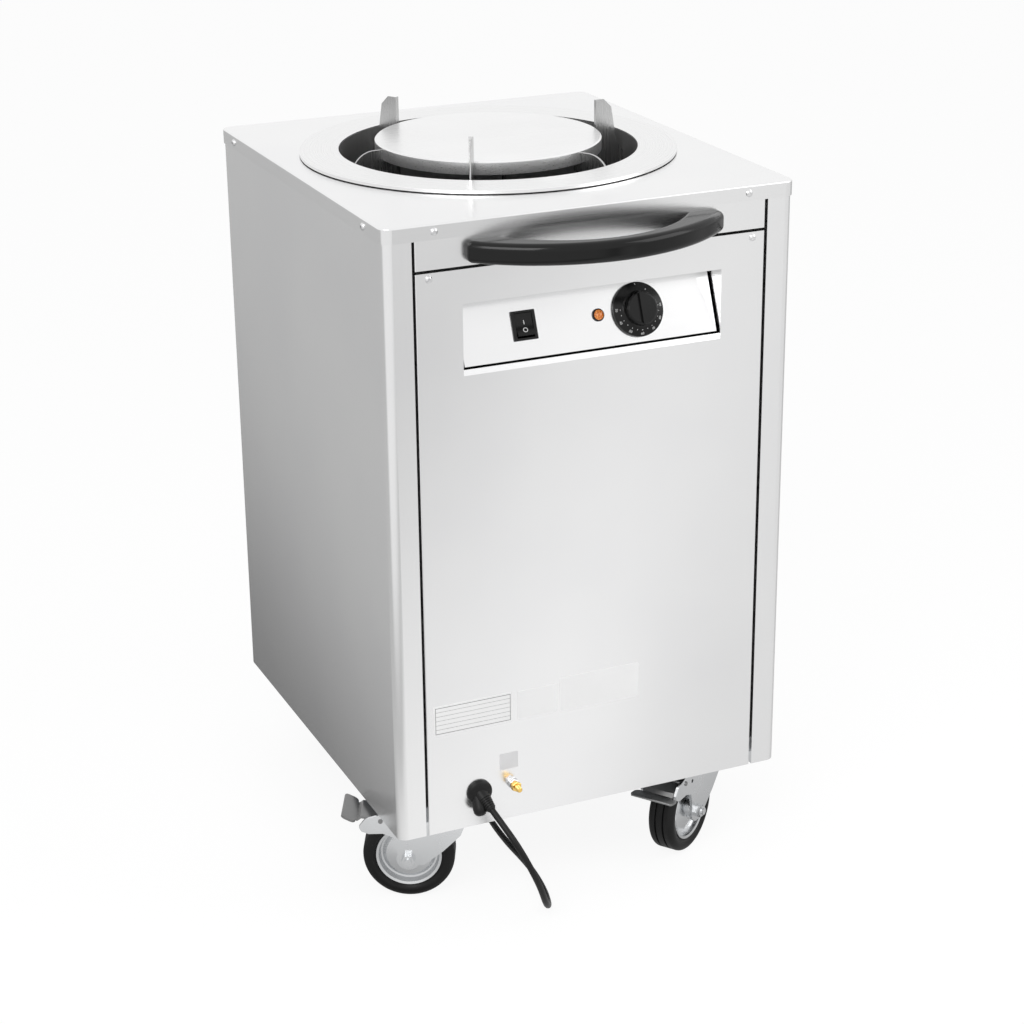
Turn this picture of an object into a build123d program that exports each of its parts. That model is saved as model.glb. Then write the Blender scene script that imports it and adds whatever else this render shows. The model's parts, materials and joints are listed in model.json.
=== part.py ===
"""Heated plate dispenser, one tube, on four swivel casters.

Millimetres, +Z up, the front faces -Y. The origin is on the floor under the middle of the
object's outer box: the handle reaches out in front and a brake pedal at the left, so the
cabinet's own centre is a little to the right of the origin and behind it.
"""
from build123d import *
from math import asin, atan2, cos, degrees, pi, radians, sin, sqrt, tan
import os

os.makedirs("parts", exist_ok=True)

# Casing
cabinet_width = 450.0
cabinet_depth = 500.0
cabinet_x = 16.1
cabinet_y = 31.6
skirt_edge_z = 105.0
top_z = 765.0
base_z = 130.0
sheet = 1.2
corner_radius = 10.0
front_y = cabinet_y - cabinet_depth / 2
back_y = cabinet_y + cabinet_depth / 2

post_width = 30.0
return_depth = 12.0
panel_gap = 3.0
lid_height = 16.0
lid_overhang = 1.5
fascia_height = 30.0

# Plate tube and what runs in it
tube_x = cabinet_x
tube_y = cabinet_y + 15.0
tube_inner_radius = 161.0
tube_wall = 1.5
ring_radius = 203.0
ring_top_z = top_z + 5.0
carrier_radius = 122.0
carrier_top_z = ring_top_z + 10.0
carrier_travel = 420.0
guide_angles = {"front_left": -120, "right": 0, "rear_left": 120}
arm_angles = {"front_right": -60, "rear_right": 60, "left": 180}

# Casters
wheel_radius = 50.0
caster_trail = 35.0
caster_x = 155.0
caster_y = 192.0
caster_turn = {"front_left": 154.5, "front_right": 214.8, "rear_left": 20.0, "rear_right": 163.0}
braked = ("front_left", "front_right")

# Cord
cord_radius = 3.5


def save(part, name):
    """Label one finished piece and write it as its own file."""
    part.label = name
    export_step(part, f"parts/{name}.step")


def outward(x, y, z, side):
    """A place on a cabinet face whose local Z axis points out of that face."""
    turns = {"front": (90, 0, 0), "back": (-90, 0, 0), "left": (0, -90, 0), "right": (0, 90, 0)}
    return Location((x, y, z), turns[side])


# Casing screws: button heads on the skirt and near the top of the front panel, and the
# rear panel's ring of eight. Shanks run inwards from the sheet that they hold.
lid_width = cabinet_width + 2 * lid_overhang
lid_depth = cabinet_depth + 2 * lid_overhang
skirt_screw_z = top_z - 8.0
screw_radius = 2.0
screw_head_radius = 3.8
screw_head_height = 2.2
front_screw_x = 172.0
side_screw_y = 203.0
panel_screw_x = 178.0
panel_screw_z = top_z - 55.0
short_shank = 8.0
long_shank = 16.0

skirt_screws = []
for sign in (-1, 1):
    skirt_screws += [
        outward(cabinet_x + sign * front_screw_x, cabinet_y - lid_depth / 2, skirt_screw_z, "front"),
        outward(cabinet_x + sign * front_screw_x, cabinet_y + lid_depth / 2, skirt_screw_z, "back"),
        outward(cabinet_x - lid_width / 2, cabinet_y + sign * side_screw_y, skirt_screw_z, "left"),
        outward(cabinet_x + lid_width / 2, cabinet_y + sign * side_screw_y, skirt_screw_z, "right"),
    ]
panel_screws = [
    outward(cabinet_x + sign * panel_screw_x, front_y, panel_screw_z, "front") for sign in (-1, 1)
]
rear_panel_width = 412.0
rear_panel_bottom_z = skirt_edge_z + 6.0
rear_panel_top_z = top_z - lid_height - 4.0
rear_screw_x = rear_panel_width / 2 - 8.0
rear_screws = [
    outward(cabinet_x + sign * rear_screw_x, back_y + sheet, z, "back")
    for sign in (-1, 1)
    for z in (150.0, 335.0, 530.0, 728.0)
]


def edges_at(builder, plane, height):
    """The edges of a part whose middle stands at a height over a plane."""
    return [edge for edge in builder.edges()
            if abs(plane.to_local_coords(edge.center()).Z - height) < 0.01]


def screw_holes(places, depth):
    """Clearance holes for screws, cut along each place's own axis."""
    with Locations(*places):
        Cylinder(screw_radius, depth, mode=Mode.SUBTRACT)


with BuildPart() as casing_screws:
    for places, shank in ((skirt_screws, short_shank), (rear_screws, short_shank),
                          (panel_screws, long_shank)):
        with Locations(*places):
            Cylinder(screw_radius, shank, align=(Align.CENTER, Align.CENTER, Align.MAX))
            Cone(screw_head_radius, screw_head_radius - 1.6, screw_head_height,
                 align=(Align.CENTER, Align.CENTER, Align.MIN))
save(casing_screws.part, "casing_screws")


# Side panels: one sheet each, wrapped round the front and back corners as narrow posts,
# with the front post's edge returned inwards.
side_top_z = top_z - sheet
for name, sign in (("side_panel_left", -1), ("side_panel_right", 1)):
    with BuildPart() as side_panel:
        with BuildSketch(Plane.XY.offset(skirt_edge_z)):
            with Locations((cabinet_x, cabinet_y)):
                RectangleRounded(cabinet_width, cabinet_depth, corner_radius)
                RectangleRounded(cabinet_width - 2 * sheet, cabinet_depth - 2 * sheet,
                                 corner_radius - sheet, mode=Mode.SUBTRACT)
            with Locations((cabinet_x - sign * post_width, cabinet_y)):
                Rectangle(cabinet_width, cabinet_depth + 2, mode=Mode.SUBTRACT)
            with Locations((cabinet_x + sign * (cabinet_width / 2 - post_width + sheet / 2),
                            front_y + return_depth / 2)):
                Rectangle(sheet, return_depth)
        extrude(amount=side_top_z - skirt_edge_z)
        screw_holes(skirt_screws, 2 * short_shank)
        screw_holes(rear_screws, 2 * short_shank)
    save(side_panel.part, name)


# Rear panel: a flat sheet screwed over the rear posts.
with BuildPart() as rear_panel:
    with BuildSketch(Plane.XZ.offset(-back_y - sheet)):
        with Locations((cabinet_x, (rear_panel_bottom_z + rear_panel_top_z) / 2)):
            RectangleRounded(rear_panel_width, rear_panel_top_z - rear_panel_bottom_z, 3)
    extrude(amount=sheet)
    screw_holes(rear_screws, 2 * short_shank)
save(rear_panel.part, "rear_panel")


# Base plate: a folded tray, open below, that closes the casing and carries the casters.
base_thickness = 2.0
base_flange = 16.0
base_width = cabinet_width - 2 * sheet - 1.0
base_depth = cabinet_depth - return_depth - sheet - 0.5
base_y = front_y + return_depth + base_depth / 2
bolt_spacing_x = 80.0
bolt_spacing_y = 60.0
bolt_radius = 4.0
caster_places = {
    "front_left": (cabinet_x - caster_x, cabinet_y - caster_y),
    "front_right": (cabinet_x + caster_x, cabinet_y - caster_y),
    "rear_left": (cabinet_x - caster_x, cabinet_y + caster_y),
    "rear_right": (cabinet_x + caster_x, cabinet_y + caster_y),
}
with BuildPart() as base_plate:
    with BuildSketch(Plane.XY.offset(base_z - base_flange)):
        with Locations((cabinet_x, base_y)):
            RectangleRounded(base_width, base_depth, corner_radius - sheet - 0.5)
    extrude(amount=base_flange + base_thickness)
    with BuildSketch(Plane.XY.offset(base_z - base_flange)):
        with Locations((cabinet_x, base_y)):
            RectangleRounded(base_width - 2 * base_thickness, base_depth - 2 * base_thickness, 6.5)
    extrude(amount=base_flange, mode=Mode.SUBTRACT)
    with BuildSketch(Plane.XY.offset(base_z)):
        with Locations(*caster_places.values()):
            with GridLocations(bolt_spacing_x, bolt_spacing_y, 2, 2):
                Circle(bolt_radius)
    extrude(amount=base_thickness, mode=Mode.SUBTRACT)
save(base_plate.part, "base_plate")


# Front frame: one punched plate behind the folded front sheets, standing on the base plate.
frame_y = front_y + return_depth
frame_thickness = 1.5
frame_width = cabinet_width - 2 * sheet - 1.0
frame_bottom_z = base_z + base_thickness
frame_top_z = top_z - 3.0
frame_window_width = 330.0
frame_window_bottom_z = frame_bottom_z + 45.0
frame_window_top_z = 698.0
with BuildPart() as front_frame:
    with BuildSketch(Plane.XZ.offset(-frame_y - frame_thickness)):
        with Locations((cabinet_x, (frame_bottom_z + frame_top_z) / 2)):
            Rectangle(frame_width, frame_top_z - frame_bottom_z)
        with Locations((cabinet_x, (frame_window_bottom_z + frame_window_top_z) / 2)):
            Rectangle(frame_window_width, frame_window_top_z - frame_window_bottom_z,
                      mode=Mode.SUBTRACT)
    extrude(amount=frame_thickness)
    screw_holes(panel_screws, 2 * long_shank)
save(front_frame.part, "front_frame")


# Fascia strip: a shallow folded strip under the lid's skirt. It carries the handle.
front_width = cabinet_width - 2 * (post_width + panel_gap)
fascia_bottom_z = top_z - lid_height - fascia_height
fascia_top_z = top_z - 3.0
with BuildPart() as fascia_strip:
    with BuildSketch(Plane.XZ.offset(-front_y)):
        with Locations((cabinet_x, (fascia_bottom_z + fascia_top_z) / 2)):
            Rectangle(front_width, fascia_top_z - fascia_bottom_z)
    extrude(amount=-return_depth)
    front_edges = fascia_strip.faces().sort_by(Axis.Y)[0].edges().filter_by(Axis.Z)
    fillet(front_edges, 1.0)
    with BuildSketch(Plane.XZ.offset(-front_y - return_depth)):
        with Locations((cabinet_x, (fascia_bottom_z + fascia_top_z) / 2)):
            Rectangle(front_width - 2 * sheet, fascia_top_z - fascia_bottom_z - 2 * sheet)
    extrude(amount=return_depth - sheet, mode=Mode.SUBTRACT)
    screw_holes(skirt_screws, 2 * short_shank)
save(fascia_strip.part, "fascia_strip")


# Front panel: a folded sheet with the control recess. The recess has a ledge above, two
# triangular cheeks and a short sill that starts the slope of the control plate.
panel_top_z = fascia_bottom_z - panel_gap
recess_width = 286.0
recess_bottom_z = 607.0
recess_top_z = 681.0
recess_depth = 30.0
recess_tilt = degrees(atan2(recess_depth, recess_top_z - recess_bottom_z))
sill_length = 6.0
notch_height = 15.0
notch_width = 4.0
gland_x = cabinet_x - 134.0
gland_z = 144.0
gland_hole_radius = 8.0
stud_x = cabinet_x - 96.0
stud_z = 147.0
stud_radius = 3.0

# The control plane runs up the slope: X to the right, Y up the slope, Z out to the user.
control_plane = Plane(
    origin=(cabinet_x, front_y, recess_bottom_z),
    x_dir=(1, 0, 0),
    z_dir=(0, -cos(radians(recess_tilt)), sin(radians(recess_tilt))),
)
slope_length = sqrt(recess_depth ** 2 + (recess_top_z - recess_bottom_z) ** 2)

with BuildPart() as front_panel:
    with BuildSketch(Plane.XZ.offset(-front_y)):
        with Locations((cabinet_x, (skirt_edge_z + panel_top_z) / 2)):
            Rectangle(front_width, panel_top_z - skirt_edge_z)
    extrude(amount=-return_depth)
    front_edges = front_panel.faces().sort_by(Axis.Y)[0].edges().filter_by(Axis.Z)
    fillet(front_edges, 1.0)
    with BuildSketch(Plane.XZ.offset(-front_y - return_depth)):
        with Locations((cabinet_x, (skirt_edge_z + panel_top_z - sheet) / 2)):
            Rectangle(front_width - 2 * sheet, panel_top_z - skirt_edge_z - sheet)
    extrude(amount=return_depth - sheet, mode=Mode.SUBTRACT)
    # corner reliefs at the foot of the side returns
    with BuildSketch(Plane.XZ.offset(-front_y - sheet)):
        for sign in (-1, 1):
            with Locations((cabinet_x + sign * front_width / 2, skirt_edge_z + notch_height / 2)):
                Rectangle(notch_width, notch_height)
    extrude(amount=-return_depth, mode=Mode.SUBTRACT)
    # the recess: a wedge of sheet, hollowed by the same wedge moved in by one thickness
    with BuildSketch(Plane.YZ.offset(cabinet_x)):
        with BuildLine():
            Polyline(
                (front_y + 0.1, recess_bottom_z - sheet),
                (front_y + 0.1, recess_top_z + sheet),
                (front_y + recess_depth + sheet, recess_top_z + sheet),
                (front_y + recess_depth + sheet, recess_top_z - 1),
                (front_y + 0.1, recess_bottom_z - sheet),
            )
        make_face()
    extrude(amount=recess_width / 2 + sheet, both=True)
    with BuildSketch(Plane.YZ.offset(cabinet_x)):
        with BuildLine():
            Polyline(
                (front_y - 1, recess_bottom_z),
                (front_y - 1, recess_top_z),
                (front_y + recess_depth + 3, recess_top_z),
                (front_y + recess_depth + 3, recess_top_z - 8),
                (front_y, recess_bottom_z),
                (front_y - 1, recess_bottom_z),
            )
        make_face()
    extrude(amount=recess_width / 2, both=True, mode=Mode.SUBTRACT)
    # the slope stays only as the sill: above it the recess is open for the control plate
    with BuildSketch(control_plane.offset(-4)):
        with Locations((0, (slope_length + sill_length) / 2)):
            Rectangle(recess_width, slope_length - sill_length)
    extrude(amount=8, mode=Mode.SUBTRACT)
    screw_holes(panel_screws, 2 * long_shank)
    with Locations(outward(gland_x, front_y, gland_z, "front")):
        Cylinder(gland_hole_radius, 4 * sheet, mode=Mode.SUBTRACT)
    with Locations(outward(stud_x, front_y, stud_z, "front")):
        Cylinder(stud_radius, 4 * sheet, mode=Mode.SUBTRACT)
save(front_panel.part, "front_panel")


# Control plate: the sloped plate that carries the switch, the lamp and the thermostat.
plate_gap = 2.5
plate_thickness = 1.5
plate_width = recess_width - 2 * plate_gap
plate_low = sill_length + plate_gap
plate_high = slope_length - 1.5
plate_return = 9.0
control_row = 41.5
switch_place = (-71.0, control_row)
lamp_place = (11.0, control_row)
knob_place = (55.0, control_row)
switch_cut = (24.0, 27.0)
lamp_stem_radius = 4.9
spindle_radius = 3.0
with BuildPart() as control_plate:
    with BuildSketch(control_plane):
        with Locations((0, (plate_low + plate_high) / 2)):
            Rectangle(plate_width, plate_high - plate_low)
    extrude(amount=-plate_thickness)
    # side returns, folded back
    with BuildSketch(control_plane.offset(-plate_thickness)):
        for sign in (-1, 1):
            with Locations((sign * (plate_width - plate_thickness) / 2, (plate_low + 60) / 2)):
                Rectangle(plate_thickness, 60 - plate_low)
    extrude(amount=-plate_return)
    with BuildSketch(control_plane):
        with Locations(switch_place):
            Rectangle(*switch_cut)
        with Locations(lamp_place):
            Circle(lamp_stem_radius)
        with Locations(knob_place):
            Circle(spindle_radius + 0.5)
    extrude(amount=-plate_thickness, mode=Mode.SUBTRACT)
save(control_plate.part, "control_plate")


# Switch: a snap-in housing with a bezel, and a rocker that tips on two pins.
bezel_size = (26.5, 30.0)
bezel_height = 2.0
rocker_width = 18.4
rocker_half_length = 11.5
rocker_tip = 8.0
well_size = (19.2, 25.4)
housing_depth = 22.0
rocker_pivot = -2.0
pin_radius = 1.5
switch_plane = Plane(control_plane.from_local_coords(Vector(*switch_place, 0)),
                     x_dir=control_plane.x_dir, z_dir=control_plane.z_dir)
with BuildPart() as switch_housing:
    with BuildSketch(switch_plane):
        RectangleRounded(*bezel_size, 1.0)
    extrude(amount=bezel_height)
    chamfer(edges_at(switch_housing, switch_plane, bezel_height), 0.7)
    with BuildSketch(switch_plane):
        Rectangle(*switch_cut)
    extrude(amount=-housing_depth)
    with BuildSketch(switch_plane.offset(bezel_height)):
        Rectangle(*well_size)
    extrude(amount=-bezel_height - 11.0, mode=Mode.SUBTRACT)
    with BuildSketch(Plane(switch_plane.from_local_coords(Vector(0, 0, rocker_pivot)),
                           x_dir=switch_plane.y_dir, z_dir=switch_plane.x_dir)):
        Circle(pin_radius + 0.05)
    extrude(amount=well_size[0] / 2 + 1.6, both=True, mode=Mode.SUBTRACT)
save(switch_housing.part, "switch_housing")

# The rocker stands with its upper end pressed in. Its profile plane has X up the slope.
rocker_rest = -rocker_tip
rocker_frame = Plane(switch_plane.from_local_coords(Vector(0, 0, rocker_pivot)),
                     x_dir=switch_plane.y_dir, z_dir=switch_plane.x_dir)
rocker_plane = Plane(rocker_frame.origin,
                     x_dir=rocker_frame.x_dir * cos(radians(rocker_rest))
                     + rocker_frame.y_dir * sin(radians(rocker_rest)),
                     z_dir=rocker_frame.z_dir)
with BuildPart() as switch_rocker:
    with BuildSketch(rocker_plane):
        with BuildLine():
            Line((-rocker_half_length, -4), (rocker_half_length, -4))
            Line((rocker_half_length, -4), (rocker_half_length, 5.4))
            ThreePointArc((rocker_half_length, 5.4), (0, 3.4), (-rocker_half_length, 5.4))
            Line((-rocker_half_length, 5.4), (-rocker_half_length, -4))
        make_face()
    extrude(amount=rocker_width / 2, both=True)
    with BuildSketch(rocker_plane):
        Circle(pin_radius)
    extrude(amount=well_size[0] / 2 + 1.3, both=True)
save(switch_rocker.part, "switch_rocker")


# Lamp: a round bezel with a threaded stem through the plate, and a domed lens.
lamp_plane = Plane(control_plane.from_local_coords(Vector(*lamp_place, 0)),
                   x_dir=control_plane.x_dir, z_dir=control_plane.z_dir)
bezel_radius = 6.6
lens_radius = 5.2
lens_edge = 2.4
lens_top = 5.0
dome_radius = (lens_radius ** 2 + (lens_top - lens_edge) ** 2) / (2 * (lens_top - lens_edge))
dome_angle = degrees(asin(lens_radius / dome_radius))
with BuildPart() as lamp_bezel:
    with BuildSketch(Plane(lamp_plane.origin, x_dir=lamp_plane.x_dir, z_dir=-lamp_plane.y_dir)):
        with BuildLine():
            Polyline((0, -18), (lamp_stem_radius, -18), (lamp_stem_radius, 0), (bezel_radius, 0),
                     (bezel_radius, 1.2), (bezel_radius - 0.6, 2.2), (lens_radius, 2.2),
                     (lens_radius, 0.6), (0, 0.6), (0, -18))
        make_face()
    revolve(axis=Axis(lamp_plane.origin, lamp_plane.z_dir))
save(lamp_bezel.part, "lamp_bezel")
with BuildPart() as lamp_lens:
    with BuildSketch(Plane(lamp_plane.origin, x_dir=lamp_plane.x_dir, z_dir=-lamp_plane.y_dir)):
        with BuildLine():
            Polyline((0, lens_top), (0, 0.6), (lens_radius, 0.6), (lens_radius, lens_edge))
            CenterArc((0, lens_top - dome_radius), dome_radius, 90 - dome_angle, dome_angle)
        make_face()
    revolve(axis=Axis(lamp_plane.origin, lamp_plane.z_dir))
save(lamp_lens.part, "lamp_lens")


# Thermostat behind the plate, its spindle, and the dial knob with a finger bar.
knob_plane = Plane(control_plane.from_local_coords(Vector(*knob_place, 0)),
                   x_dir=control_plane.x_dir, z_dir=control_plane.z_dir)
knob_profile_plane = Plane(knob_plane.origin, x_dir=knob_plane.x_dir, z_dir=-knob_plane.y_dir)
knob_axis = Axis(knob_plane.origin, knob_plane.z_dir)
dial_radius = 28.0
dial_clearance = 0.8
dial_edge = 3.0
grip_radius = 17.5
grip_top = 15.0
bar_width = 6.0
bar_top = 17.5
spindle_top = 12.0
with BuildPart() as thermostat:
    with BuildSketch(knob_plane.offset(-plate_thickness)):
        Circle(6.0)
    extrude(amount=-4)
    with BuildSketch(knob_plane.offset(-plate_thickness - 4)):
        RectangleRounded(44, 36, 3)
    extrude(amount=-26)
    with BuildSketch(knob_plane):
        Circle(spindle_radius + 0.05)
    extrude(amount=-14, mode=Mode.SUBTRACT)
save(thermostat.part, "thermostat")
with BuildPart() as thermostat_spindle:
    with BuildSketch(knob_plane.offset(-13)):
        Circle(spindle_radius)
    extrude(amount=13 + spindle_top)
save(thermostat_spindle.part, "thermostat_spindle")
with BuildPart() as temperature_knob:
    with BuildSketch(knob_profile_plane):
        with BuildLine():
            Line((0, dial_clearance), (dial_radius, dial_clearance))
            Line((dial_radius, dial_clearance), (dial_radius, dial_edge))
            Line((dial_radius, dial_edge), (grip_radius + 2, dial_edge + 3.2))
            ThreePointArc((grip_radius + 2, dial_edge + 3.2), (grip_radius + 0.4, dial_edge + 4.2),
                          (grip_radius, dial_edge + 6))
            Line((grip_radius, dial_edge + 6), (grip_radius - 0.8, grip_top - 1.5))
            ThreePointArc((grip_radius - 0.8, grip_top - 1.5), (grip_radius - 1.5, grip_top - 0.4),
                          (grip_radius - 3, grip_top))
            Line((grip_radius - 3, grip_top), (0, grip_top))
            Line((0, grip_top), (0, dial_clearance))
        make_face()
    revolve(axis=knob_axis)
    with BuildSketch(knob_plane.offset(grip_top - 1)):
        RectangleRounded(bar_width, 2 * grip_radius - 3, 1.5)
    extrude(amount=bar_top - grip_top + 1)
    with BuildSketch(knob_plane):
        Circle(spindle_radius)
    extrude(amount=spindle_top, mode=Mode.SUBTRACT)
save(temperature_knob.part, "temperature_knob")


# Handle: a moulded bow. In plan it is a crescent between an outer and an inner arc, and
# both its long edges are rounded, which leaves the feet flat where they meet the fascia.
handle_half_width = 140.0
handle_reach = 67.0
handle_foot = 42.0
handle_grip = 20.0
handle_height = 22.0
handle_z = fascia_bottom_z + 14.5
with BuildPart() as handle:
    with BuildSketch(Plane.XY.offset(handle_z - handle_height / 2)):
        with BuildLine():
            Line((cabinet_x - handle_half_width, front_y),
                 (cabinet_x - handle_half_width, front_y - 9))
            ThreePointArc((cabinet_x - handle_half_width, front_y - 9),
                          (cabinet_x, front_y - handle_reach),
                          (cabinet_x + handle_half_width, front_y - 9))
            Line((cabinet_x + handle_half_width, front_y - 9),
                 (cabinet_x + handle_half_width, front_y))
            Line((cabinet_x + handle_half_width, front_y),
                 (cabinet_x + handle_half_width - handle_foot, front_y))
            ThreePointArc((cabinet_x + handle_half_width - handle_foot, front_y),
                          (cabinet_x, front_y - handle_reach + handle_grip),
                          (cabinet_x - handle_half_width + handle_foot, front_y))
            Line((cabinet_x - handle_half_width + handle_foot, front_y),
                 (cabinet_x - handle_half_width, front_y))
        make_face()
    extrude(amount=handle_height)
    ends = handle.edges().filter_by(Axis.Z).group_by(Axis.Y)[0]
    fillet(ends, 8.0)
    fillet(handle.edges().filter_by(GeomType.CIRCLE), 7.0)
save(handle.part, "handle")


# Lid: a folded top with a skirt on four sides and a hole for the plate tube.
lid_hole_radius = tube_inner_radius + tube_wall + 3.0
with BuildPart() as lid:
    with BuildSketch(Plane.XY.offset(top_z - lid_height)):
        with Locations((cabinet_x, cabinet_y)):
            RectangleRounded(lid_width, lid_depth, corner_radius + lid_overhang)
    extrude(amount=lid_height)
    fillet(lid.faces().sort_by(Axis.Z)[-1].edges(), 2.0)
    with BuildSketch(Plane.XY.offset(top_z - lid_height)):
        with Locations((cabinet_x, cabinet_y)):
            RectangleRounded(lid_width - 2 * sheet, lid_depth - 2 * sheet,
                             corner_radius + lid_overhang - sheet)
    extrude(amount=lid_height - sheet, mode=Mode.SUBTRACT)
    with BuildSketch(Plane.XY.offset(top_z - sheet)):
        with Locations((tube_x, tube_y)):
            Circle(lid_hole_radius)
    extrude(amount=sheet, mode=Mode.SUBTRACT)
    screw_holes(skirt_screws, 2 * short_shank)
save(lid.part, "lid")


# Ring: a turned-down ring that lies on the tube's mouth and covers the hole in the lid.
tube_axis = Axis((tube_x, tube_y, 0), (0, 0, 1))
tube_profile = Plane((tube_x, tube_y, 0), x_dir=(1, 0, 0), z_dir=(0, -1, 0))
ring_height = 4.0
ring_sheet = 1.5
tube_top_z = ring_top_z - ring_sheet
with BuildPart() as top_ring:
    with BuildSketch(tube_profile):
        with BuildLine():
            Polyline((tube_inner_radius, ring_top_z), (ring_radius - 1, ring_top_z),
                     (ring_radius, ring_top_z - 1), (ring_radius, ring_top_z - ring_height),
                     (ring_radius - ring_sheet, ring_top_z - ring_height),
                     (ring_radius - ring_sheet, ring_top_z - ring_sheet),
                     (tube_inner_radius, ring_top_z - ring_sheet),
                     (tube_inner_radius, ring_top_z))
        make_face()
    revolve(axis=tube_axis)
save(top_ring.part, "top_ring")


# Plate tube: the inner cylinder, slotted for the three carrier arms, with a foot flange on
# the base plate and a collar under the lid.
tube_outer_radius = tube_inner_radius + tube_wall
tube_bottom_z = base_z + base_thickness
arm_bottom_z = 590.0
arm_top_z = 615.0
slot_width = 10.0
slot_bottom_z = arm_bottom_z - carrier_travel - 4.0
slot_top_z = arm_top_z + 1.0
heater_z = 152.0
lead_offset = 14.0
with BuildPart() as plate_tube:
    with BuildSketch(tube_profile):
        with BuildLine():
            Polyline((tube_inner_radius, tube_bottom_z), (tube_outer_radius + 16, tube_bottom_z),
                     (tube_outer_radius + 16, tube_bottom_z + tube_wall),
                     (tube_outer_radius, tube_bottom_z + tube_wall),
                     (tube_outer_radius, top_z - sheet - tube_wall),
                     (tube_outer_radius + 12, top_z - sheet - tube_wall),
                     (tube_outer_radius + 12, top_z - sheet), (tube_outer_radius, top_z - sheet),
                     (tube_outer_radius, tube_top_z), (tube_inner_radius, tube_top_z),
                     (tube_inner_radius, tube_bottom_z))
        make_face()
    revolve(axis=tube_axis)
    for angle in arm_angles.values():
        with Locations(Location((tube_x, tube_y, (slot_bottom_z + slot_top_z) / 2), (0, 0, angle))):
            with Locations((tube_inner_radius, 0, 0)):
                Box(20, slot_width, slot_top_z - slot_bottom_z, mode=Mode.SUBTRACT)
    with Locations(*[Location((tube_x + sign * lead_offset, tube_y - tube_inner_radius, heater_z),
                              (90, 0, 0)) for sign in (-1, 1)]):
        Cylinder(6.0, 30, mode=Mode.SUBTRACT)
save(plate_tube.part, "plate_tube")


def radial_plane(angle):
    """A vertical plane through the tube's axis: X outwards along the radius, Y up."""
    outwards = Vector(cos(radians(angle)), sin(radians(angle)), 0)
    return Plane((tube_x, tube_y, 0), x_dir=outwards, z_dir=outwards.cross(Vector(0, 0, 1)))


# Plate guides: upright blades in the tube. Each has a radial web that is welded to the tube
# wall and a flange folded along its inner edge, where the plates' rims run.
guide_inner_radius = 126.5
guide_thickness = 1.5
guide_flange = 5.0
weld_gap = 0.02
guide_top_z = top_z + 42.0
guide_bottom_z = tube_bottom_z + 24.0
for name, angle in guide_angles.items():
    with BuildPart() as guide:
        with BuildSketch(radial_plane(angle)):
            with BuildLine():
                Polyline(
                    (guide_inner_radius, guide_bottom_z),
                    (tube_inner_radius - weld_gap, guide_bottom_z),
                    (tube_inner_radius - weld_gap, ring_top_z - 22),
                    (guide_inner_radius + 26, ring_top_z - 8),
                    (guide_inner_radius + 20, guide_top_z - 9),
                    (guide_inner_radius + 11, guide_top_z),
                    (guide_inner_radius, guide_top_z),
                    (guide_inner_radius, guide_bottom_z),
                )
            make_face()
        extrude(amount=guide_thickness)
        with BuildSketch(radial_plane(angle)):
            with BuildLine():
                Polyline(
                    (guide_inner_radius, guide_bottom_z),
                    (guide_inner_radius + guide_thickness, guide_bottom_z),
                    (guide_inner_radius + guide_thickness, guide_top_z),
                    (guide_inner_radius, guide_top_z),
                    (guide_inner_radius, guide_bottom_z),
                )
            make_face()
        extrude(amount=guide_flange)
    save(guide.part, f"guide_{name}")


# Carrier: a turned-down disc on three upright arms. The arms show as rounded ears beside
# the disc, run down the tube, pass out through its slots and are hung from the springs.
carrier_skirt = 14.0
carrier_sheet = 1.5
disc_bottom_z = carrier_top_z - carrier_skirt
with BuildPart() as carrier_disc:
    with BuildSketch(tube_profile):
        with BuildLine():
            Polyline((0, carrier_top_z), (carrier_radius - 1.5, carrier_top_z),
                     (carrier_radius, carrier_top_z - 1.5), (carrier_radius, disc_bottom_z),
                     (carrier_radius - carrier_sheet, disc_bottom_z),
                     (carrier_radius - carrier_sheet, carrier_top_z - carrier_sheet),
                     (0, carrier_top_z - carrier_sheet), (0, carrier_top_z))
        make_face()
    revolve(axis=tube_axis)
save(carrier_disc.part, "carrier_disc")

arm_thickness = 3.0
arm_outer_radius = 157.0
arm_inner_radius = 141.0
ear_radius = 26.0
hook_radius = 186.0
hoop_radius = 121.0
hoop_thickness = 2.0
hole_radius = 2.5
for name, angle in arm_angles.items():
    with BuildPart() as carrier_arm:
        with BuildSketch(radial_plane(angle)):
            with BuildLine():
                Line((carrier_radius, carrier_top_z - 3), (arm_outer_radius - ear_radius, carrier_top_z - 3))
                ThreePointArc(
                    (arm_outer_radius - ear_radius, carrier_top_z - 3),
                    (arm_outer_radius - ear_radius * (1 - cos(pi / 4)),
                     carrier_top_z - 3 - ear_radius * (1 - cos(pi / 4))),
                    (arm_outer_radius, carrier_top_z - 3 - ear_radius))
                Polyline(
                    (arm_outer_radius, carrier_top_z - 3 - ear_radius),
                    (arm_outer_radius, arm_top_z),
                    (hook_radius - 20, arm_top_z),
                    (hook_radius - 8, arm_bottom_z + 16),
                    (hook_radius + 6, arm_bottom_z + 14),
                    (hook_radius + 6, arm_bottom_z),
                    (hoop_radius, arm_bottom_z),
                    (hoop_radius, arm_top_z),
                    (arm_inner_radius - 8, arm_top_z),
                    (arm_inner_radius, arm_top_z + 8),
                    (arm_inner_radius, disc_bottom_z - 34),
                    (carrier_radius - 10, disc_bottom_z - 6),
                    (carrier_radius - 10, disc_bottom_z),
                    (carrier_radius, disc_bottom_z),
                    (carrier_radius, carrier_top_z - 3),
                )
            make_face()
        extrude(amount=arm_thickness / 2, both=True)
        with BuildSketch(radial_plane(angle)):
            with Locations((hook_radius, arm_bottom_z + 9)):
                Circle(hole_radius)
        extrude(amount=arm_thickness, both=True, mode=Mode.SUBTRACT)
    save(carrier_arm.part, f"carrier_arm_{name}")

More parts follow.
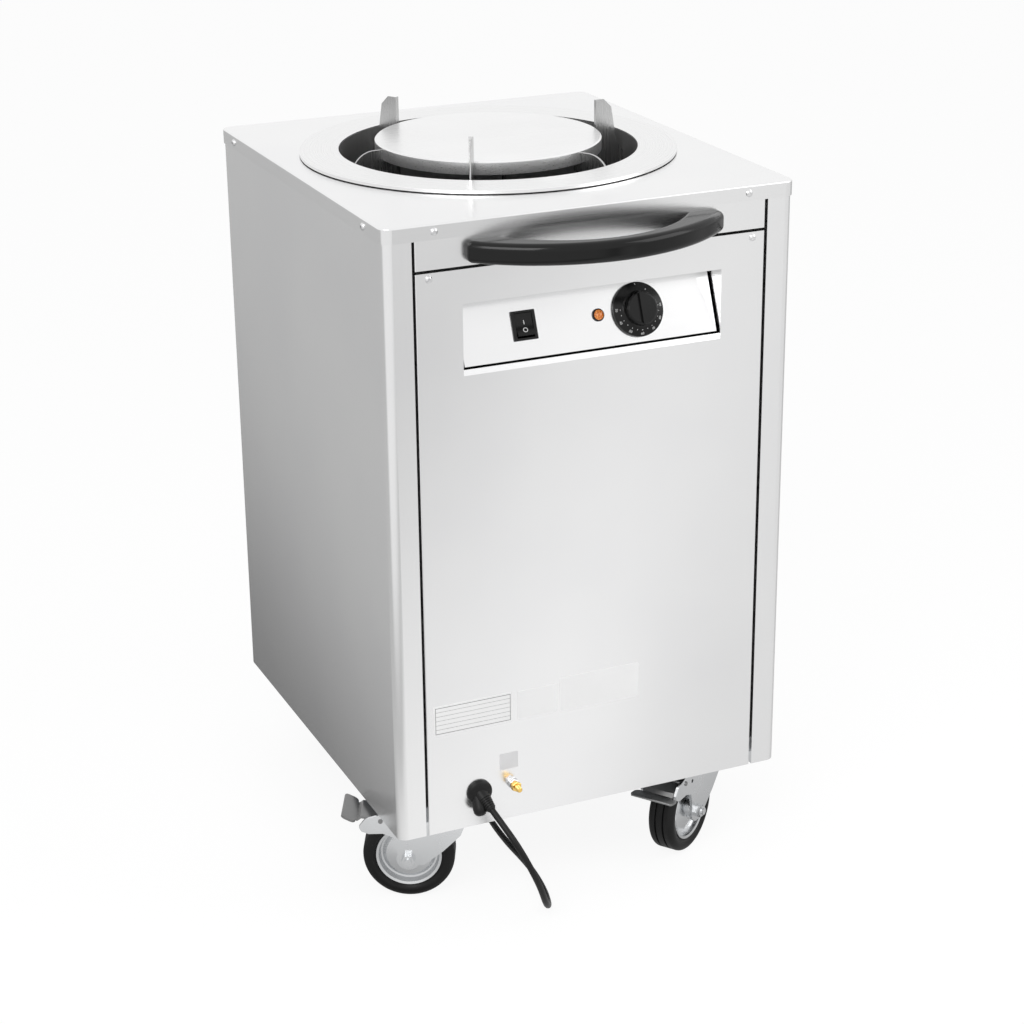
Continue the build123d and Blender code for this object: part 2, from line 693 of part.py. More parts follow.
with BuildPart() as carrier_hoop:
    with BuildSketch(tube_profile):
        with Locations((hoop_radius - hoop_thickness / 2, (arm_bottom_z + arm_top_z) / 2)):
            Rectangle(hoop_thickness, arm_top_z - arm_bottom_z)
    revolve(axis=tube_axis)
save(carrier_hoop.part, "carrier_hoop")


# Lift springs: long close-wound extension springs outside the tube. Each hangs from an
# anchor on the tube and holds one carrier arm by the hole at its outer end.
spring_top_z = 744.0
arm_hole_z = arm_bottom_z + 9.0
spring_radius = 7.0
spring_wire = 1.0
hook_play = 1.2
hook_side = arm_thickness / 2 + spring_wire + 0.3
coil_low = arm_hole_z + 12.0
coil_high = spring_top_z - 12.0
for name, angle in arm_angles.items():
    outwards = radial_plane(angle)
    with BuildPart() as lift_spring:
        with BuildSketch(Plane.XY.offset(coil_low)):
            with Locations(outwards.from_local_coords(Vector(hook_radius, 0, 0))):
                Circle(spring_radius)
                Circle(spring_radius - 2 * spring_wire, mode=Mode.SUBTRACT)
        extrude(amount=coil_high - coil_low)
        # each end: a bar across the last turn, a leg beside the plate, a pin in its hole
        for end_z, pin_z in ((coil_low + spring_wire, arm_hole_z + hook_play),
                             (coil_high - spring_wire, spring_top_z - hook_play)):
            with BuildSketch(outwards.offset(hook_side)):
                with Locations((hook_radius, end_z)):
                    Rectangle(2 * spring_radius - 2 * spring_wire, 2 * spring_wire)
                with Locations((hook_radius, (end_z + pin_z) / 2)):
                    Rectangle(2 * spring_wire, abs(end_z - pin_z) + 2 * spring_wire)
            extrude(amount=spring_wire, both=True)
            with BuildSketch(outwards.offset(hook_side)):
                with Locations((hook_radius, pin_z)):
                    Circle(spring_wire)
            extrude(amount=-2 * hook_side)
    save(lift_spring.part, f"lift_spring_{name}")

with BuildPart() as spring_anchors:
    for angle in arm_angles.values():
        with BuildSketch(radial_plane(angle)):
            with BuildLine():
                Polyline(
                    (tube_outer_radius, spring_top_z - 34),
                    (tube_outer_radius + 2, spring_top_z - 34),
                    (hook_radius - spring_radius - 3, spring_top_z - 6),
                    (hook_radius + 6, spring_top_z - 6),
                    (hook_radius + 6, spring_top_z + 10),
                    (tube_outer_radius, spring_top_z + 10),
                    (tube_outer_radius, spring_top_z - 34),
                )
            make_face()
            with Locations((hook_radius, spring_top_z)):
                Circle(hole_radius, mode=Mode.SUBTRACT)
        extrude(amount=arm_thickness / 2, both=True)
save(spring_anchors.part, "spring_anchors")


# Heater: a tubular element, one open ring whose two ends run forward through the tube.
heater_radius = 110.0
heater_tube = 4.2
lead_bend = 18.0
bend_x = lead_offset + lead_bend
bend_y = -sqrt((heater_radius + lead_bend) ** 2 - bend_x ** 2)
ring_start = Vector(bend_x, bend_y) * (heater_radius / (heater_radius + lead_bend))
lead_end_y = -tube_outer_radius - 22.0


def heater_point(x, y):
    return Vector(tube_x + x, tube_y + y, heater_z)


def bend_middle(sign):
    """The middle of the bend between a lead and the ring."""
    towards_lead = Vector(-1, 0)
    towards_ring = (ring_start - Vector(bend_x, bend_y)).normalized()
    middle = (towards_lead + towards_ring).normalized() * lead_bend
    return heater_point(sign * (bend_x + middle.X), bend_y + middle.Y)


with BuildPart() as heater_element:
    with BuildLine() as element_path:
        Line(heater_point(lead_offset, lead_end_y), heater_point(lead_offset, bend_y))
        ThreePointArc(heater_point(lead_offset, bend_y), bend_middle(1),
                      heater_point(ring_start.X, ring_start.Y))
        ThreePointArc(heater_point(ring_start.X, ring_start.Y), heater_point(0, heater_radius),
                      heater_point(-ring_start.X, ring_start.Y))
        ThreePointArc(heater_point(-ring_start.X, ring_start.Y), bend_middle(-1),
                      heater_point(-lead_offset, bend_y))
        Line(heater_point(-lead_offset, bend_y), heater_point(-lead_offset, lead_end_y))
    with BuildSketch(Plane(heater_point(lead_offset, lead_end_y), z_dir=(0, 1, 0))):
        Circle(heater_tube)
    sweep(path=element_path.wires()[0])
save(heater_element.part, "heater_element")

bracket_height = heater_z - heater_tube - tube_bottom_z
with BuildPart() as heater_brackets:
    for angle in (30, 150, 90):
        with Locations(Location((tube_x + heater_radius * cos(radians(angle)),
                                 tube_y + heater_radius * sin(radians(angle)),
                                 tube_bottom_z), (0, 0, angle))):
            Box(22, 12, 1.5, align=(Align.CENTER, Align.CENTER, Align.MIN))
            Box(12, 12, bracket_height, align=(Align.CENTER, Align.CENTER, Align.MIN))
save(heater_brackets.part, "heater_brackets")

# Terminal block on the base plate, where the cord's cores, the earth and the heater meet.
with BuildPart() as terminal_block:
    with Locations((cabinet_x - 70, front_y + 60, tube_bottom_z)):
        Box(60, 22, 18, align=(Align.CENTER, Align.CENTER, Align.MIN))
    with Locations((cabinet_x - 70, front_y + 60, tube_bottom_z + 18)):
        with GridLocations(11, 12, 5, 2):
            Cylinder(2.6, 8, mode=Mode.SUBTRACT)
save(terminal_block.part, "terminal_block")


# Earth stud: a brass screw with a washer and two nuts, the bonding terminal.
stud_reach = 21.0
with BuildPart() as earth_stud:
    with BuildSketch(Plane.XZ.offset(-front_y - 10)):
        with Locations((stud_x, stud_z)):
            Circle(stud_radius)
    extrude(amount=10 + stud_reach)
    for start, thickness, shape in ((0.0, 1.2, "washer"), (1.2, 5.0, "nut"), (8.0, 5.0, "nut")):
        with BuildSketch(Plane.XZ.offset(-front_y + start)):
            with Locations((stud_x, stud_z)):
                if shape == "washer":
                    Circle(6.2)
                else:
                    RegularPolygon(5.0, 6, major_radius=False)
        extrude(amount=thickness)
    with BuildSketch(Plane.XZ.offset(-front_y - sheet - 4)):
        with Locations((stud_x, stud_z)):
            RegularPolygon(5.0, 6, major_radius=False)
    extrude(amount=4)
save(earth_stud.part, "earth_stud")


# Cord gland: a flanged strain relief whose nose turns the cord down and outwards.
gland_flange_radius = 14.0
nose_length = 24.0
exit_way = Vector(0.26, -0.80, -0.54).normalized()
exit_point = Vector(gland_x, front_y, gland_z - 1.0) + exit_way * nose_length
with BuildPart() as cord_gland:
    with BuildSketch(Plane(exit_point - exit_way * nose_length, z_dir=exit_way)):
        Circle(8.2)
    extrude(amount=nose_length - 4, taper=4)
    with BuildSketch(Plane(exit_point - exit_way * 4.2, z_dir=exit_way)):
        Circle(5.6)
    extrude(amount=4.2, taper=8)
    split(bisect_by=Plane.XZ.offset(-front_y), keep=Keep.TOP)
    with BuildSketch(Plane.XZ.offset(-front_y - 8)):
        with Locations((gland_x, gland_z)):
            Circle(gland_hole_radius - 0.1)
    extrude(amount=8)
    with BuildSketch(Plane.XZ.offset(-front_y)):
        with Locations((gland_x, gland_z)):
            Circle(gland_flange_radius)
    extrude(amount=5, taper=12)
save(cord_gland.part, "cord_gland")


# Cord: out of the gland, down in front of the casing, over the floor between the casters
# to a put-away coil behind the cabinet.
floor_z = cord_radius + 0.1
route = [
    exit_point,
    exit_point + exit_way * 17.0,
    Vector(cabinet_x - 115, front_y - 55, 103.5),
    Vector(cabinet_x - 103.5, front_y - 62, 78),
    Vector(cabinet_x - 90.5, front_y - 60.5, 48.5),
    Vector(cabinet_x - 79.5, front_y - 50, 20),
    Vector(cabinet_x - 66, front_y - 28, floor_z),
    Vector(cabinet_x - 56, front_y + 8, floor_z),
    Vector(cabinet_x - 50, front_y + 60, floor_z),
    Vector(cabinet_x - 52, front_y + 125, floor_z),
    Vector(cabinet_x - 46, front_y + 195, floor_z),
    Vector(cabinet_x - 26, front_y + 270, floor_z),
    Vector(cabinet_x + 2, front_y + 340, floor_z),
    Vector(cabinet_x + 10, front_y + 415, floor_z),
    Vector(cabinet_x - 2, front_y + 478, floor_z),
    Vector(cabinet_x - 8, front_y + 525, floor_z),
]

# Coil: two layers of two turns. It spirals in on the floor, climbs one layer in the half
# turn where the spiral reverses, and spirals out again.
turn_pitch = 2 * cord_radius + 0.8
coil_outer_radius = 48.0
coil_turns = 4.0
coil_start_angle = 180.0
coil_centre = Vector(cabinet_x - 6 + coil_outer_radius, front_y + 592, 0)


def coil_point(turns):
    """A point of the coil's middle line after a number of turns, going clockwise."""
    half = coil_turns / 2
    inwards = turns if turns <= half else coil_turns - turns
    radius = coil_outer_radius - turn_pitch * inwards
    climb = min(max((turns - half + 0.25) / 0.5, 0.0), 1.0)
    angle = radians(coil_start_angle - 360.0 * turns)
    height = floor_z + turn_pitch * (1 - cos(pi * climb)) / 2
    return Vector(coil_centre.X + radius * cos(angle), coil_centre.Y + radius * sin(angle), height)


def coil_tangent(turns):
    step = 0.002
    return (coil_point(turns + step) - coil_point(turns - step)).normalized()


def biarc_joint(start, start_way, end, end_way):
    """Where two tangent arcs meet that join two points with the given directions."""
    chord = end - start
    both = start_way + end_way
    spread = 2 * (1 - start_way.dot(end_way))
    along = chord.dot(both)
    reach = (sqrt(along ** 2 + spread * chord.dot(chord)) - along) / spread
    return (start + end + (start_way - end_way) * reach) * 0.5


def arc_end_way(start, start_way, end):
    """The direction in which an arc arrives that leaves start in a given direction."""
    chord = (end - start).normalized()
    return (chord * (2 * start_way.dot(chord)) - start_way).normalized()


# The tube of the free cord: straight runs joined by arcs as large as the runs allow.
coil_lead = 16.0
coil_entry = coil_point(0)
entry_way = coil_tangent(0)
route += [coil_entry - entry_way * 30, coil_entry]
radii = []
for before, corner, after in zip(route, route[1:], route[2:]):
    shorter = min((corner - before).length, (after - corner).length)
    turn = radians((corner - before).get_angle(after - corner))
    radii.append(0.45 * shorter / tan(turn / 2))
print("cord: least arc radius", round(min(radii), 1), "mm, limit", round(10 * cord_radius, 1))
with BuildPart() as power_cord:
    with BuildLine() as cord_path:
        FilletPolyline(*route, radius=radii)
    with BuildSketch(Plane(route[0], z_dir=route[1] - route[0])):
        Circle(cord_radius)
    sweep(path=cord_path.wires()[0])
cord_length = cord_path.wires()[0].length
print("power_cord: volume", round(power_cord.part.volume), "mm3, section times length",
      round(pi * cord_radius ** 2 * cord_length))
save(power_cord.part, "power_cord")

# The coil's tube: two arcs for each quarter turn, and a straight end towards the plug.
quarter = 0.25
with BuildPart() as cord_coil:
    with BuildLine() as coil_path:
        way = coil_tangent(0)
        spot = coil_point(0)
        for step in range(int(coil_turns / quarter)):
            goal = coil_point((step + 1) * quarter)
            goal_way = coil_tangent((step + 1) * quarter)
            joint = biarc_joint(spot, way, goal, goal_way)
            TangentArc(spot, joint, tangent=way)
            TangentArc(joint, goal, tangent=arc_end_way(spot, way, joint))
            spot, way = goal, goal_way
        Line(spot, spot + way * coil_lead)
    with BuildSketch(Plane(coil_entry, z_dir=entry_way)):
        Circle(cord_radius)
    sweep(path=coil_path.wires()[0])
coil_length = coil_path.wires()[0].length
plug_entry = spot + way * coil_lead
plug_way = way
print("cord_coil: volume", round(cord_coil.part.volume), "mm3, section times length",
      round(pi * cord_radius ** 2 * coil_length))
print("cord: whole length", round(cord_length + coil_length), "mm")

# The least gap of the coil to itself, on points along its middle line.
steps = 400
middle_line = [coil_point(coil_turns * step / steps) for step in range(steps + 1)]
skip = int(steps / coil_turns / 2)
least_gap = min((middle_line[i] - middle_line[j]).length for i in range(steps + 1)
                for j in range(i + skip, steps + 1)) - 2 * cord_radius
print("cord_coil: least gap to itself", round(least_gap, 2), "mm")
save(cord_coil.part, "cord_coil")

# Plug: a flat moulded three-pin plug that lies beside the coil.
plug_length = 36.0
plug_sleeve = 26.0
plug_width = 36.0
plug_thickness = 2 * (plug_entry.Z - 0.1)
pin_length = 17.0
plug_frame = Plane(plug_entry, x_dir=(0, 0, 1), z_dir=plug_way)
with BuildPart() as mains_plug:
    with BuildSketch(plug_frame):
        Circle(cord_radius + 0.9)
    with BuildSketch(plug_frame.offset(plug_sleeve)):
        Circle(6.0)
    loft()
    with BuildSketch(plug_frame.offset(plug_sleeve)):
        RectangleRounded(13, 18, 5)
    with BuildSketch(plug_frame.offset(plug_sleeve + 14)):
        RectangleRounded(plug_thickness, plug_width - 4, 7)
    loft()
    with BuildSketch(plug_frame.offset(plug_sleeve + 14)):
        RectangleRounded(plug_thickness, plug_width, 7)
    extrude(amount=plug_length - 14)
    with BuildSketch(plug_frame.offset(plug_sleeve + plug_length)):
        for sign in (-1, 1):
            with Locations(Location((3.0, sign * 6.9), sign * 30)):
                Rectangle(6.3, 1.6)
        with Locations((-6.0, 0)):
            Rectangle(1.6, 6.3)
    extrude(amount=pin_length)
save(mains_plug.part, "mains_plug")


# Caster, modelled once about its own swivel axis, the wheel trailing towards +X, and then
# copied to the four corners. Top plate, ball race and kingpin stay with the cabinet.
plate_size = (100.0, 84.0)
caster_plate_thickness = 3.0
race_radius = 28.0
race_bottom_z = 117.0
kingpin_radius = 6.0
kingpin_head_radius = 10.0
crown_bottom_z = 112.5
crown_top_z = race_bottom_z - 0.3
with BuildPart() as caster_plate:
    with BuildSketch(Plane.XY.offset(base_z - caster_plate_thickness)):
        RectangleRounded(*plate_size, 7)
        with GridLocations(bolt_spacing_x, bolt_spacing_y, 2, 2):
            Circle(bolt_radius, mode=Mode.SUBTRACT)
    extrude(amount=caster_plate_thickness)
    with BuildSketch(Plane.XZ):
        with BuildLine():
            Polyline(
                (0, base_z - 1), (race_radius, base_z - 1),
                (race_radius, base_z - 3), (race_radius - 3, race_bottom_z + 3),
                (race_radius - 5, race_bottom_z), (kingpin_radius, race_bottom_z),
                (kingpin_radius, crown_bottom_z - 0.3), (kingpin_head_radius, crown_bottom_z - 0.3),
                (kingpin_head_radius - 1.5, crown_bottom_z - 4.5), (0, crown_bottom_z - 4.5),
                (0, base_z - 1))
        make_face()
    revolve(axis=Axis.Z)

# Fork: a crown and two legs, pressed from one plate. Each leg sweeps down to the axle eye
# and, on the braked casters, reaches out over the tyre as a cheek beside the brake pedal.
fork_inner = 38.0
leg_thickness = 3.0
crown_radius = 31.0
axle_eye_radius = 13.0
axle_radius = 6.0
axle_bolt_radius = 4.0
cheek_top_z = 103.5
cheek_tip_x = 87.0
pedal_pin_x = 64.0
pedal_pin_z = 96.0
pedal_pin_radius = 2.5
rivet_hole = (48.0, 92.0)
leg_rear = [(-30, crown_top_z), (-31, 102), (-22, 79), (-3, 60), (18, 43), (46, 42)]
braked_front = [(47, 60), (50, 76), (62, 81), (77, 80.5), (cheek_tip_x - 2, 83.5),
                (cheek_tip_x + 1, 89), (81, 98), (64, cheek_top_z), (42, cheek_top_z), (31, crown_top_z)]
plain_front = [(48, 62), (42, 88), (31, crown_top_z)]


def fork(with_cheeks):
    """A fork in the caster's own frame, with or without the cheeks for a brake."""
    outline = leg_rear + (braked_front if with_cheeks else plain_front)
    with BuildPart() as body:
        with BuildSketch(Plane.XY.offset(crown_bottom_z)):
            Circle(crown_radius)
            Rectangle(54, fork_inner + 2 * leg_thickness)
        extrude(amount=crown_top_z - crown_bottom_z)
        for side in (-1, 1):
            with BuildSketch(Plane.XZ.offset(side * (fork_inner + leg_thickness) / 2)):
                with BuildLine():
                    Polyline(*outline, close=True)
                make_face()
                low_corners = [corner for corner in vertices() if corner.Z < cheek_top_z - 1]
                fillet(low_corners, 3.0)
                with Locations((caster_trail, wheel_radius)):
                    Circle(axle_eye_radius)
            extrude(amount=leg_thickness / 2, both=True)
        with BuildSketch(Plane.XY.offset(crown_bottom_z)):
            Circle(kingpin_radius + 0.06)
        extrude(amount=10, mode=Mode.SUBTRACT)
        with BuildSketch(Plane.XZ):
            with Locations((caster_trail, wheel_radius)):
                Circle(axle_bolt_radius)
            if with_cheeks:
                with Locations((pedal_pin_x, pedal_pin_z)):
                    Circle(pedal_pin_radius + 0.06)
                with Locations(rivet_hole):
                    Circle(2.2)
        extrude(amount=40, both=True, mode=Mode.SUBTRACT)
    return body.part


with BuildPart() as axle:
    with BuildSketch(Plane.XZ):
        with Locations((caster_trail, wheel_radius)):
            Circle(axle_radius)
    extrude(amount=fork_inner / 2, both=True)
    with BuildSketch(Plane.XZ):
        with Locations((caster_trail, wheel_radius)):
            Circle(axle_bolt_radius)
    extrude(amount=fork_inner / 2 + leg_thickness + 9, both=True)
    for side in (-1, 1):
        with BuildSketch(Plane.XZ.offset(side * (fork_inner / 2 + leg_thickness))):
            with Locations((caster_trail, wheel_radius)):
                RegularPolygon(6.5, 6, major_radius=False)
        extrude(amount=side * 6.5)

# Wheel, about its own axis along Y: a rubber tyre with two grooves on a pressed rim.
tyre_half_width = 15.5
rim_radius = 36.5
with BuildPart() as tyre:
    with BuildSketch(Plane.XY):
        with BuildLine():
            Polyline((rim_radius, 0), (rim_radius, 12))
            Line((rim_radius, 12), (39, 14.4))
            ThreePointArc((39, 14.4), (43.5, tyre_half_width), (47, 14.2))
            ThreePointArc((47, 14.2), (49.2, 12.2), (wheel_radius, 9))
            Polyline((wheel_radius, 9), (wheel_radius, 5.8), (48.2, 5.2), (48.2, 4.0),
                     (wheel_radius, 3.4), (wheel_radius, 0), (rim_radius, 0))
        make_face()
        mirror(about=Plane.XZ)
    revolve(axis=Axis.Y)

hub_half_length = 18.5
with BuildPart() as rim:
    with BuildSketch(Plane.XY):
        with BuildLine():
            Polyline(
                (axle_radius + 0.05, 0), (axle_radius + 0.05, hub_half_length),
                (10, hub_half_length), (11, 12.5), (25, 9.5), (29, 6.0), (31, 6.5), (33, 13.0),
                (35.6, 13.8), (rim_radius, 12.0), (rim_radius, 0), (axle_radius + 0.05, 0))
        make_face()
        mirror(about=Plane.XZ)
    revolve(axis=Axis.Y)

# Brake pedal: a plate on a cross pin between the cheeks, stepped down at its front into a
# wide tread. A shoe under the plate bears on the tyre when the pedal is pressed down, which
# is how it is drawn here.
pedal_thickness = 2.5
pedal_half_width = 18.5
tread_half_width = 26.0
tread_start = 89.5
tread_end = 105.0
tread_corner = 6.0
shoe_gap = 1.2
barrel_radius = 3.9
with BuildPart() as brake_pedal:
    # the side view: sloping plate, step down, tread
    with BuildSketch(Plane.XZ):
        with BuildLine():
            spine = Polyline((pedal_pin_x, pedal_pin_z), (85, 91.5), (88, 87), (tread_end, 89))
            offset(spine, amount=pedal_thickness / 2, side=Side.BOTH)
        make_face()
    extrude(amount=tread_half_width, both=True)
    # in plan the plate fits between the cheeks and the tread has round outer corners
    with BuildSketch(Plane.XY.offset(wheel_radius)):
        Rectangle(400, 400)
        with Locations(((tread_start + pedal_pin_x - 10) / 2, 0)):
            Rectangle(tread_start - pedal_pin_x + 10, 2 * pedal_half_width, mode=Mode.SUBTRACT)
        with Locations(((tread_start + tread_end) / 2 + 1, 0)):
            RectangleRounded(tread_end - tread_start + 2, 2 * tread_half_width, tread_corner,
                             mode=Mode.SUBTRACT)
    extrude(amount=wheel_radius + 10, mode=Mode.SUBTRACT)
    with BuildSketch(Plane.XZ):
        with Locations((73.0, 88.0)):
            Rectangle(8.0, 12.0)
        with Locations((caster_trail, wheel_radius)):
            Circle(wheel_radius + shoe_gap, mode=Mode.SUBTRACT)
    extrude(amount=10, both=True)
    with BuildSketch(Plane.XZ):
        with Locations((pedal_pin_x, pedal_pin_z)):
            Circle(barrel_radius)
    extrude(amount=pedal_half_width, both=True)
    with BuildSketch(Plane.XZ):
        with Locations((pedal_pin_x, pedal_pin_z)):
            Circle(pedal_pin_radius)
    extrude(amount=fork_inner / 2 + leg_thickness + 1, both=True)
pedal_pin_axis = Axis((pedal_pin_x, 0, pedal_pin_z), (0, 1, 0))
pedal_swing = 20.0
pedal_raised = {"front_left": pedal_swing, "front_right": 0.0}

forks = {True: fork(True), False: fork(False)}
plates = []
for corner, (x, y) in caster_places.items():
    place = Location((x, y, 0), (0, 0, caster_turn[corner]))
    hub = place * Location((caster_trail, 0, wheel_radius))
    save(forks[corner in braked].moved(place), f"caster_fork_{corner}")
    save(axle.part.moved(place), f"caster_axle_{corner}")
    save(tyre.part.moved(hub), f"tyre_{corner}")
    save(rim.part.moved(hub), f"rim_{corner}")
    if corner in braked:
        pedal = brake_pedal.part.rotate(pedal_pin_axis, -pedal_raised[corner])
        save(pedal.moved(place), f"brake_pedal_{corner}")
    plates.append(caster_plate.part.moved(Location((x, y, 0))))
save(Compound(children=plates), "caster_plates")

bolt_head = 5.0
with BuildPart() as caster_bolts:
    for corner, (x, y) in caster_places.items():
        for height, thickness, shape in (
            (base_z - caster_plate_thickness - bolt_head, bolt_head, "head"),
            (base_z - caster_plate_thickness, caster_plate_thickness + base_thickness + 9, "shank"),
            (base_z + base_thickness, 6.0, "nut"),
        ):
            with BuildSketch(Plane.XY.offset(height)):
                with Locations((x, y)):
                    with GridLocations(bolt_spacing_x, bolt_spacing_y, 2, 2):
                        if shape == "shank":
                            Circle(bolt_radius)
                        else:
                            RegularPolygon(6.5, 6, major_radius=False)
            extrude(amount=thickness)
save(caster_bolts.part, "caster_bolts")
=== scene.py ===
"""The looks of a heated plate dispenser: one steel cabinet with a sprung plate tube, on four casters.

Metres, +Z up, the front faces -Y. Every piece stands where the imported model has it.
"""
import json
from math import atan2, cos, pi, radians, sin, sqrt

import bpy
from mathutils import Matrix, Vector


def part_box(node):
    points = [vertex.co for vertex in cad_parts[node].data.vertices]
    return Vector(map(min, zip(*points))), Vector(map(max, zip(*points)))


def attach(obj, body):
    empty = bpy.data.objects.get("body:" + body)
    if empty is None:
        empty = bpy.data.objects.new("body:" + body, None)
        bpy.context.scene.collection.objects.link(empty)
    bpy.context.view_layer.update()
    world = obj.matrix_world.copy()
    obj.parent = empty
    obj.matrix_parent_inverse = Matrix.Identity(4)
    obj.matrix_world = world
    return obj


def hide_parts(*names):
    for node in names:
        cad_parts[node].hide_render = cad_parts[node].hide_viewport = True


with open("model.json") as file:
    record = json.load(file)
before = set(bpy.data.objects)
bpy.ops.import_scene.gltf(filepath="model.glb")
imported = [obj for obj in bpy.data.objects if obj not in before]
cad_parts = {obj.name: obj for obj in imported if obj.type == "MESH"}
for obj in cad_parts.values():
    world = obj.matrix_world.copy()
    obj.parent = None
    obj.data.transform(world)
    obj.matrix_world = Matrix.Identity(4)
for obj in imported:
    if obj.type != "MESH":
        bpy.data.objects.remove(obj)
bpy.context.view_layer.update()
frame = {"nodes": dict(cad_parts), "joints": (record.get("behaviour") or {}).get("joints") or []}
nodes = frame["nodes"]
MM = 0.001
bpy.ops.object.select_all(action="DESELECT")

# The view: a long lens in front of the cabinet, to its left and above it, at the photograph's
# angle. The place is measured from the middle of the lid.
side_low, side_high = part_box("side_panel_left")
side_right_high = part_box("side_panel_right")[1]
lid_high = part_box("lid")[1].z
cabinet_x = (side_low.x + side_right_high.x) / 2
cabinet_y = (side_low.y + side_high.y) / 2
front_y = side_low.y
view_from = Vector((cabinet_x - 0.998, cabinet_y - 2.312, lid_high + 0.577))
view_azimuth = radians(23.7)
view_elevation = radians(21.5)
view_roll = radians(-0.6)
looking = Vector((
    sin(view_azimuth) * cos(view_elevation),
    cos(view_azimuth) * cos(view_elevation),
    -sin(view_elevation),
))
bpy.ops.object.camera_add(location=view_from)
camera = bpy.context.object
camera.name = "view_camera"
camera.data.lens = 83.75
camera.data.sensor_width = 36.0
turned = looking.to_track_quat("-Z", "Y").to_matrix() @ Matrix.Rotation(view_roll, 3, "Z")
camera.rotation_euler = turned.to_euler()
bpy.context.scene.camera = camera
bpy.context.scene.view_settings.view_transform = "Standard"

# Mains cord: black PVC flex, 7 mm, 1.8 m from the gland to the plug. It drops from the gland
# to the floor, runs back between the casters and is put away in a round coil behind the cabinet.
cord_radius = 3.5
floor_z = cord_radius + 0.1
cabinet_x_mm = cabinet_x / MM
front_y_mm = front_y / MM
gland_x = cabinet_x_mm - 134.0
gland_z = 144.0
exit_way = Vector((0.26, -0.80, -0.54)).normalized()
boot_length = 24.0
boot_root = Vector((gland_x, front_y_mm, gland_z - 1.0))
exit_point = boot_root + exit_way * boot_length
route = [exit_point, exit_point + exit_way * 17.0]
for right, out, up in (
    (-115, -55, 103.5), (-103.5, -62, 78), (-90.5, -60.5, 48.5), (-79.5, -50, 20), (-66, -28, floor_z),
    (-56, 8, floor_z), (-50, 60, floor_z), (-52, 125, floor_z), (-46, 195, floor_z),
    (-26, 270, floor_z), (2, 340, floor_z), (10, 415, floor_z), (-2, 478, floor_z),
    (-8, 525, floor_z),
):
    route.append(Vector((cabinet_x_mm + right, front_y_mm + out, up)))

# the coil: two layers of two turns, spiralling in on the floor and out again on top
turn_pitch = 2 * cord_radius + 0.8
coil_outer_radius = 48.0
coil_turns = 4
coil_lead = 16.0
coil_centre = Vector((cabinet_x_mm - 6 + coil_outer_radius, front_y_mm + 592, 0))


def coil_point(turns):
    """A point of the coil's middle line after a number of turns, going clockwise."""
    half = coil_turns / 2
    inwards = turns if turns <= half else coil_turns - turns
    radius = coil_outer_radius - turn_pitch * inwards
    climb = min(max((turns - half + 0.25) / 0.5, 0.0), 1.0)
    angle = pi - 2 * pi * turns
    height = floor_z + turn_pitch * (1 - cos(pi * climb)) / 2
    return Vector((coil_centre.x + radius * cos(angle), coil_centre.y + radius * sin(angle), height))


entry_way = (coil_point(0.002) - coil_point(-0.002)).normalized()
leave_way = (coil_point(coil_turns + 0.002) - coil_point(coil_turns - 0.002)).normalized()
plug_entry = coil_point(coil_turns) + leave_way * coil_lead
points_per_turn = 16
route.append(coil_point(0) - entry_way * 30)
route += [coil_point(step / points_per_turn) for step in range(coil_turns * points_per_turn + 1)]
route.append(plug_entry)

flex = bpy.data.curves.new("mains_flex", "CURVE")
flex.dimensions = "3D"
flex.bevel_depth = cord_radius * MM
flex.bevel_resolution = 5
flex.resolution_u = 6
flex.use_fill_caps = True
line = flex.splines.new("NURBS")
line.points.add(len(route) - 1)
for point, place in zip(line.points, route):
    point.co = (*(place * MM), 1.0)
line.order_u = 3
line.use_endpoint_u = True
mains_flex = bpy.data.objects.new("mains_flex", flex)
bpy.context.scene.collection.objects.link(mains_flex)


def new_material(name):
    """A node material with its principled shader."""
    material = bpy.data.materials.new(name)
    material.use_nodes = True
    return material, material.node_tree.nodes, material.node_tree.links


def noise_node(tree_nodes, links, scale, detail, stretch):
    """Noise on the piece's own coordinates, stretched along its axes."""
    where = tree_nodes.new("ShaderNodeTexCoord")
    mapping = tree_nodes.new("ShaderNodeMapping")
    mapping.inputs["Scale"].default_value = stretch
    noise = tree_nodes.new("ShaderNodeTexNoise")
    noise.inputs["Scale"].default_value = scale
    noise.inputs["Detail"].default_value = detail
    links.new(where.outputs["Object"], mapping.inputs["Vector"])
    links.new(mapping.outputs["Vector"], noise.inputs["Vector"])
    return noise


def mapped(tree_nodes, links, source, low, high):
    """A noise output spread from low to high."""
    spread = tree_nodes.new("ShaderNodeMapRange")
    spread.inputs["From Min"].default_value = 0.3
    spread.inputs["From Max"].default_value = 0.7
    spread.inputs["To Min"].default_value = low
    spread.inputs["To Max"].default_value = high
    links.new(source, spread.inputs["Value"])
    return spread.outputs["Result"]


def tinted(tree_nodes, links, source, dark, light):
    """A colour ramp between two colours."""
    ramp = tree_nodes.new("ShaderNodeValToRGB")
    ramp.color_ramp.elements[0].position = 0.3
    ramp.color_ramp.elements[1].position = 0.7
    ramp.color_ramp.elements[0].color = (*dark, 1.0)
    ramp.color_ramp.elements[1].color = (*light, 1.0)
    links.new(source, ramp.inputs["Fac"])
    return ramp.outputs["Color"]


def bumped(tree_nodes, links, source, shader, depth, strength=0.5):
    """A bump of a depth in metres on the shader's normal."""
    bump = tree_nodes.new("ShaderNodeBump")
    bump.inputs["Strength"].default_value = strength
    bump.inputs["Distance"].default_value = depth
    links.new(source, bump.inputs["Height"])
    links.new(bump.outputs["Normal"], shader.inputs["Normal"])


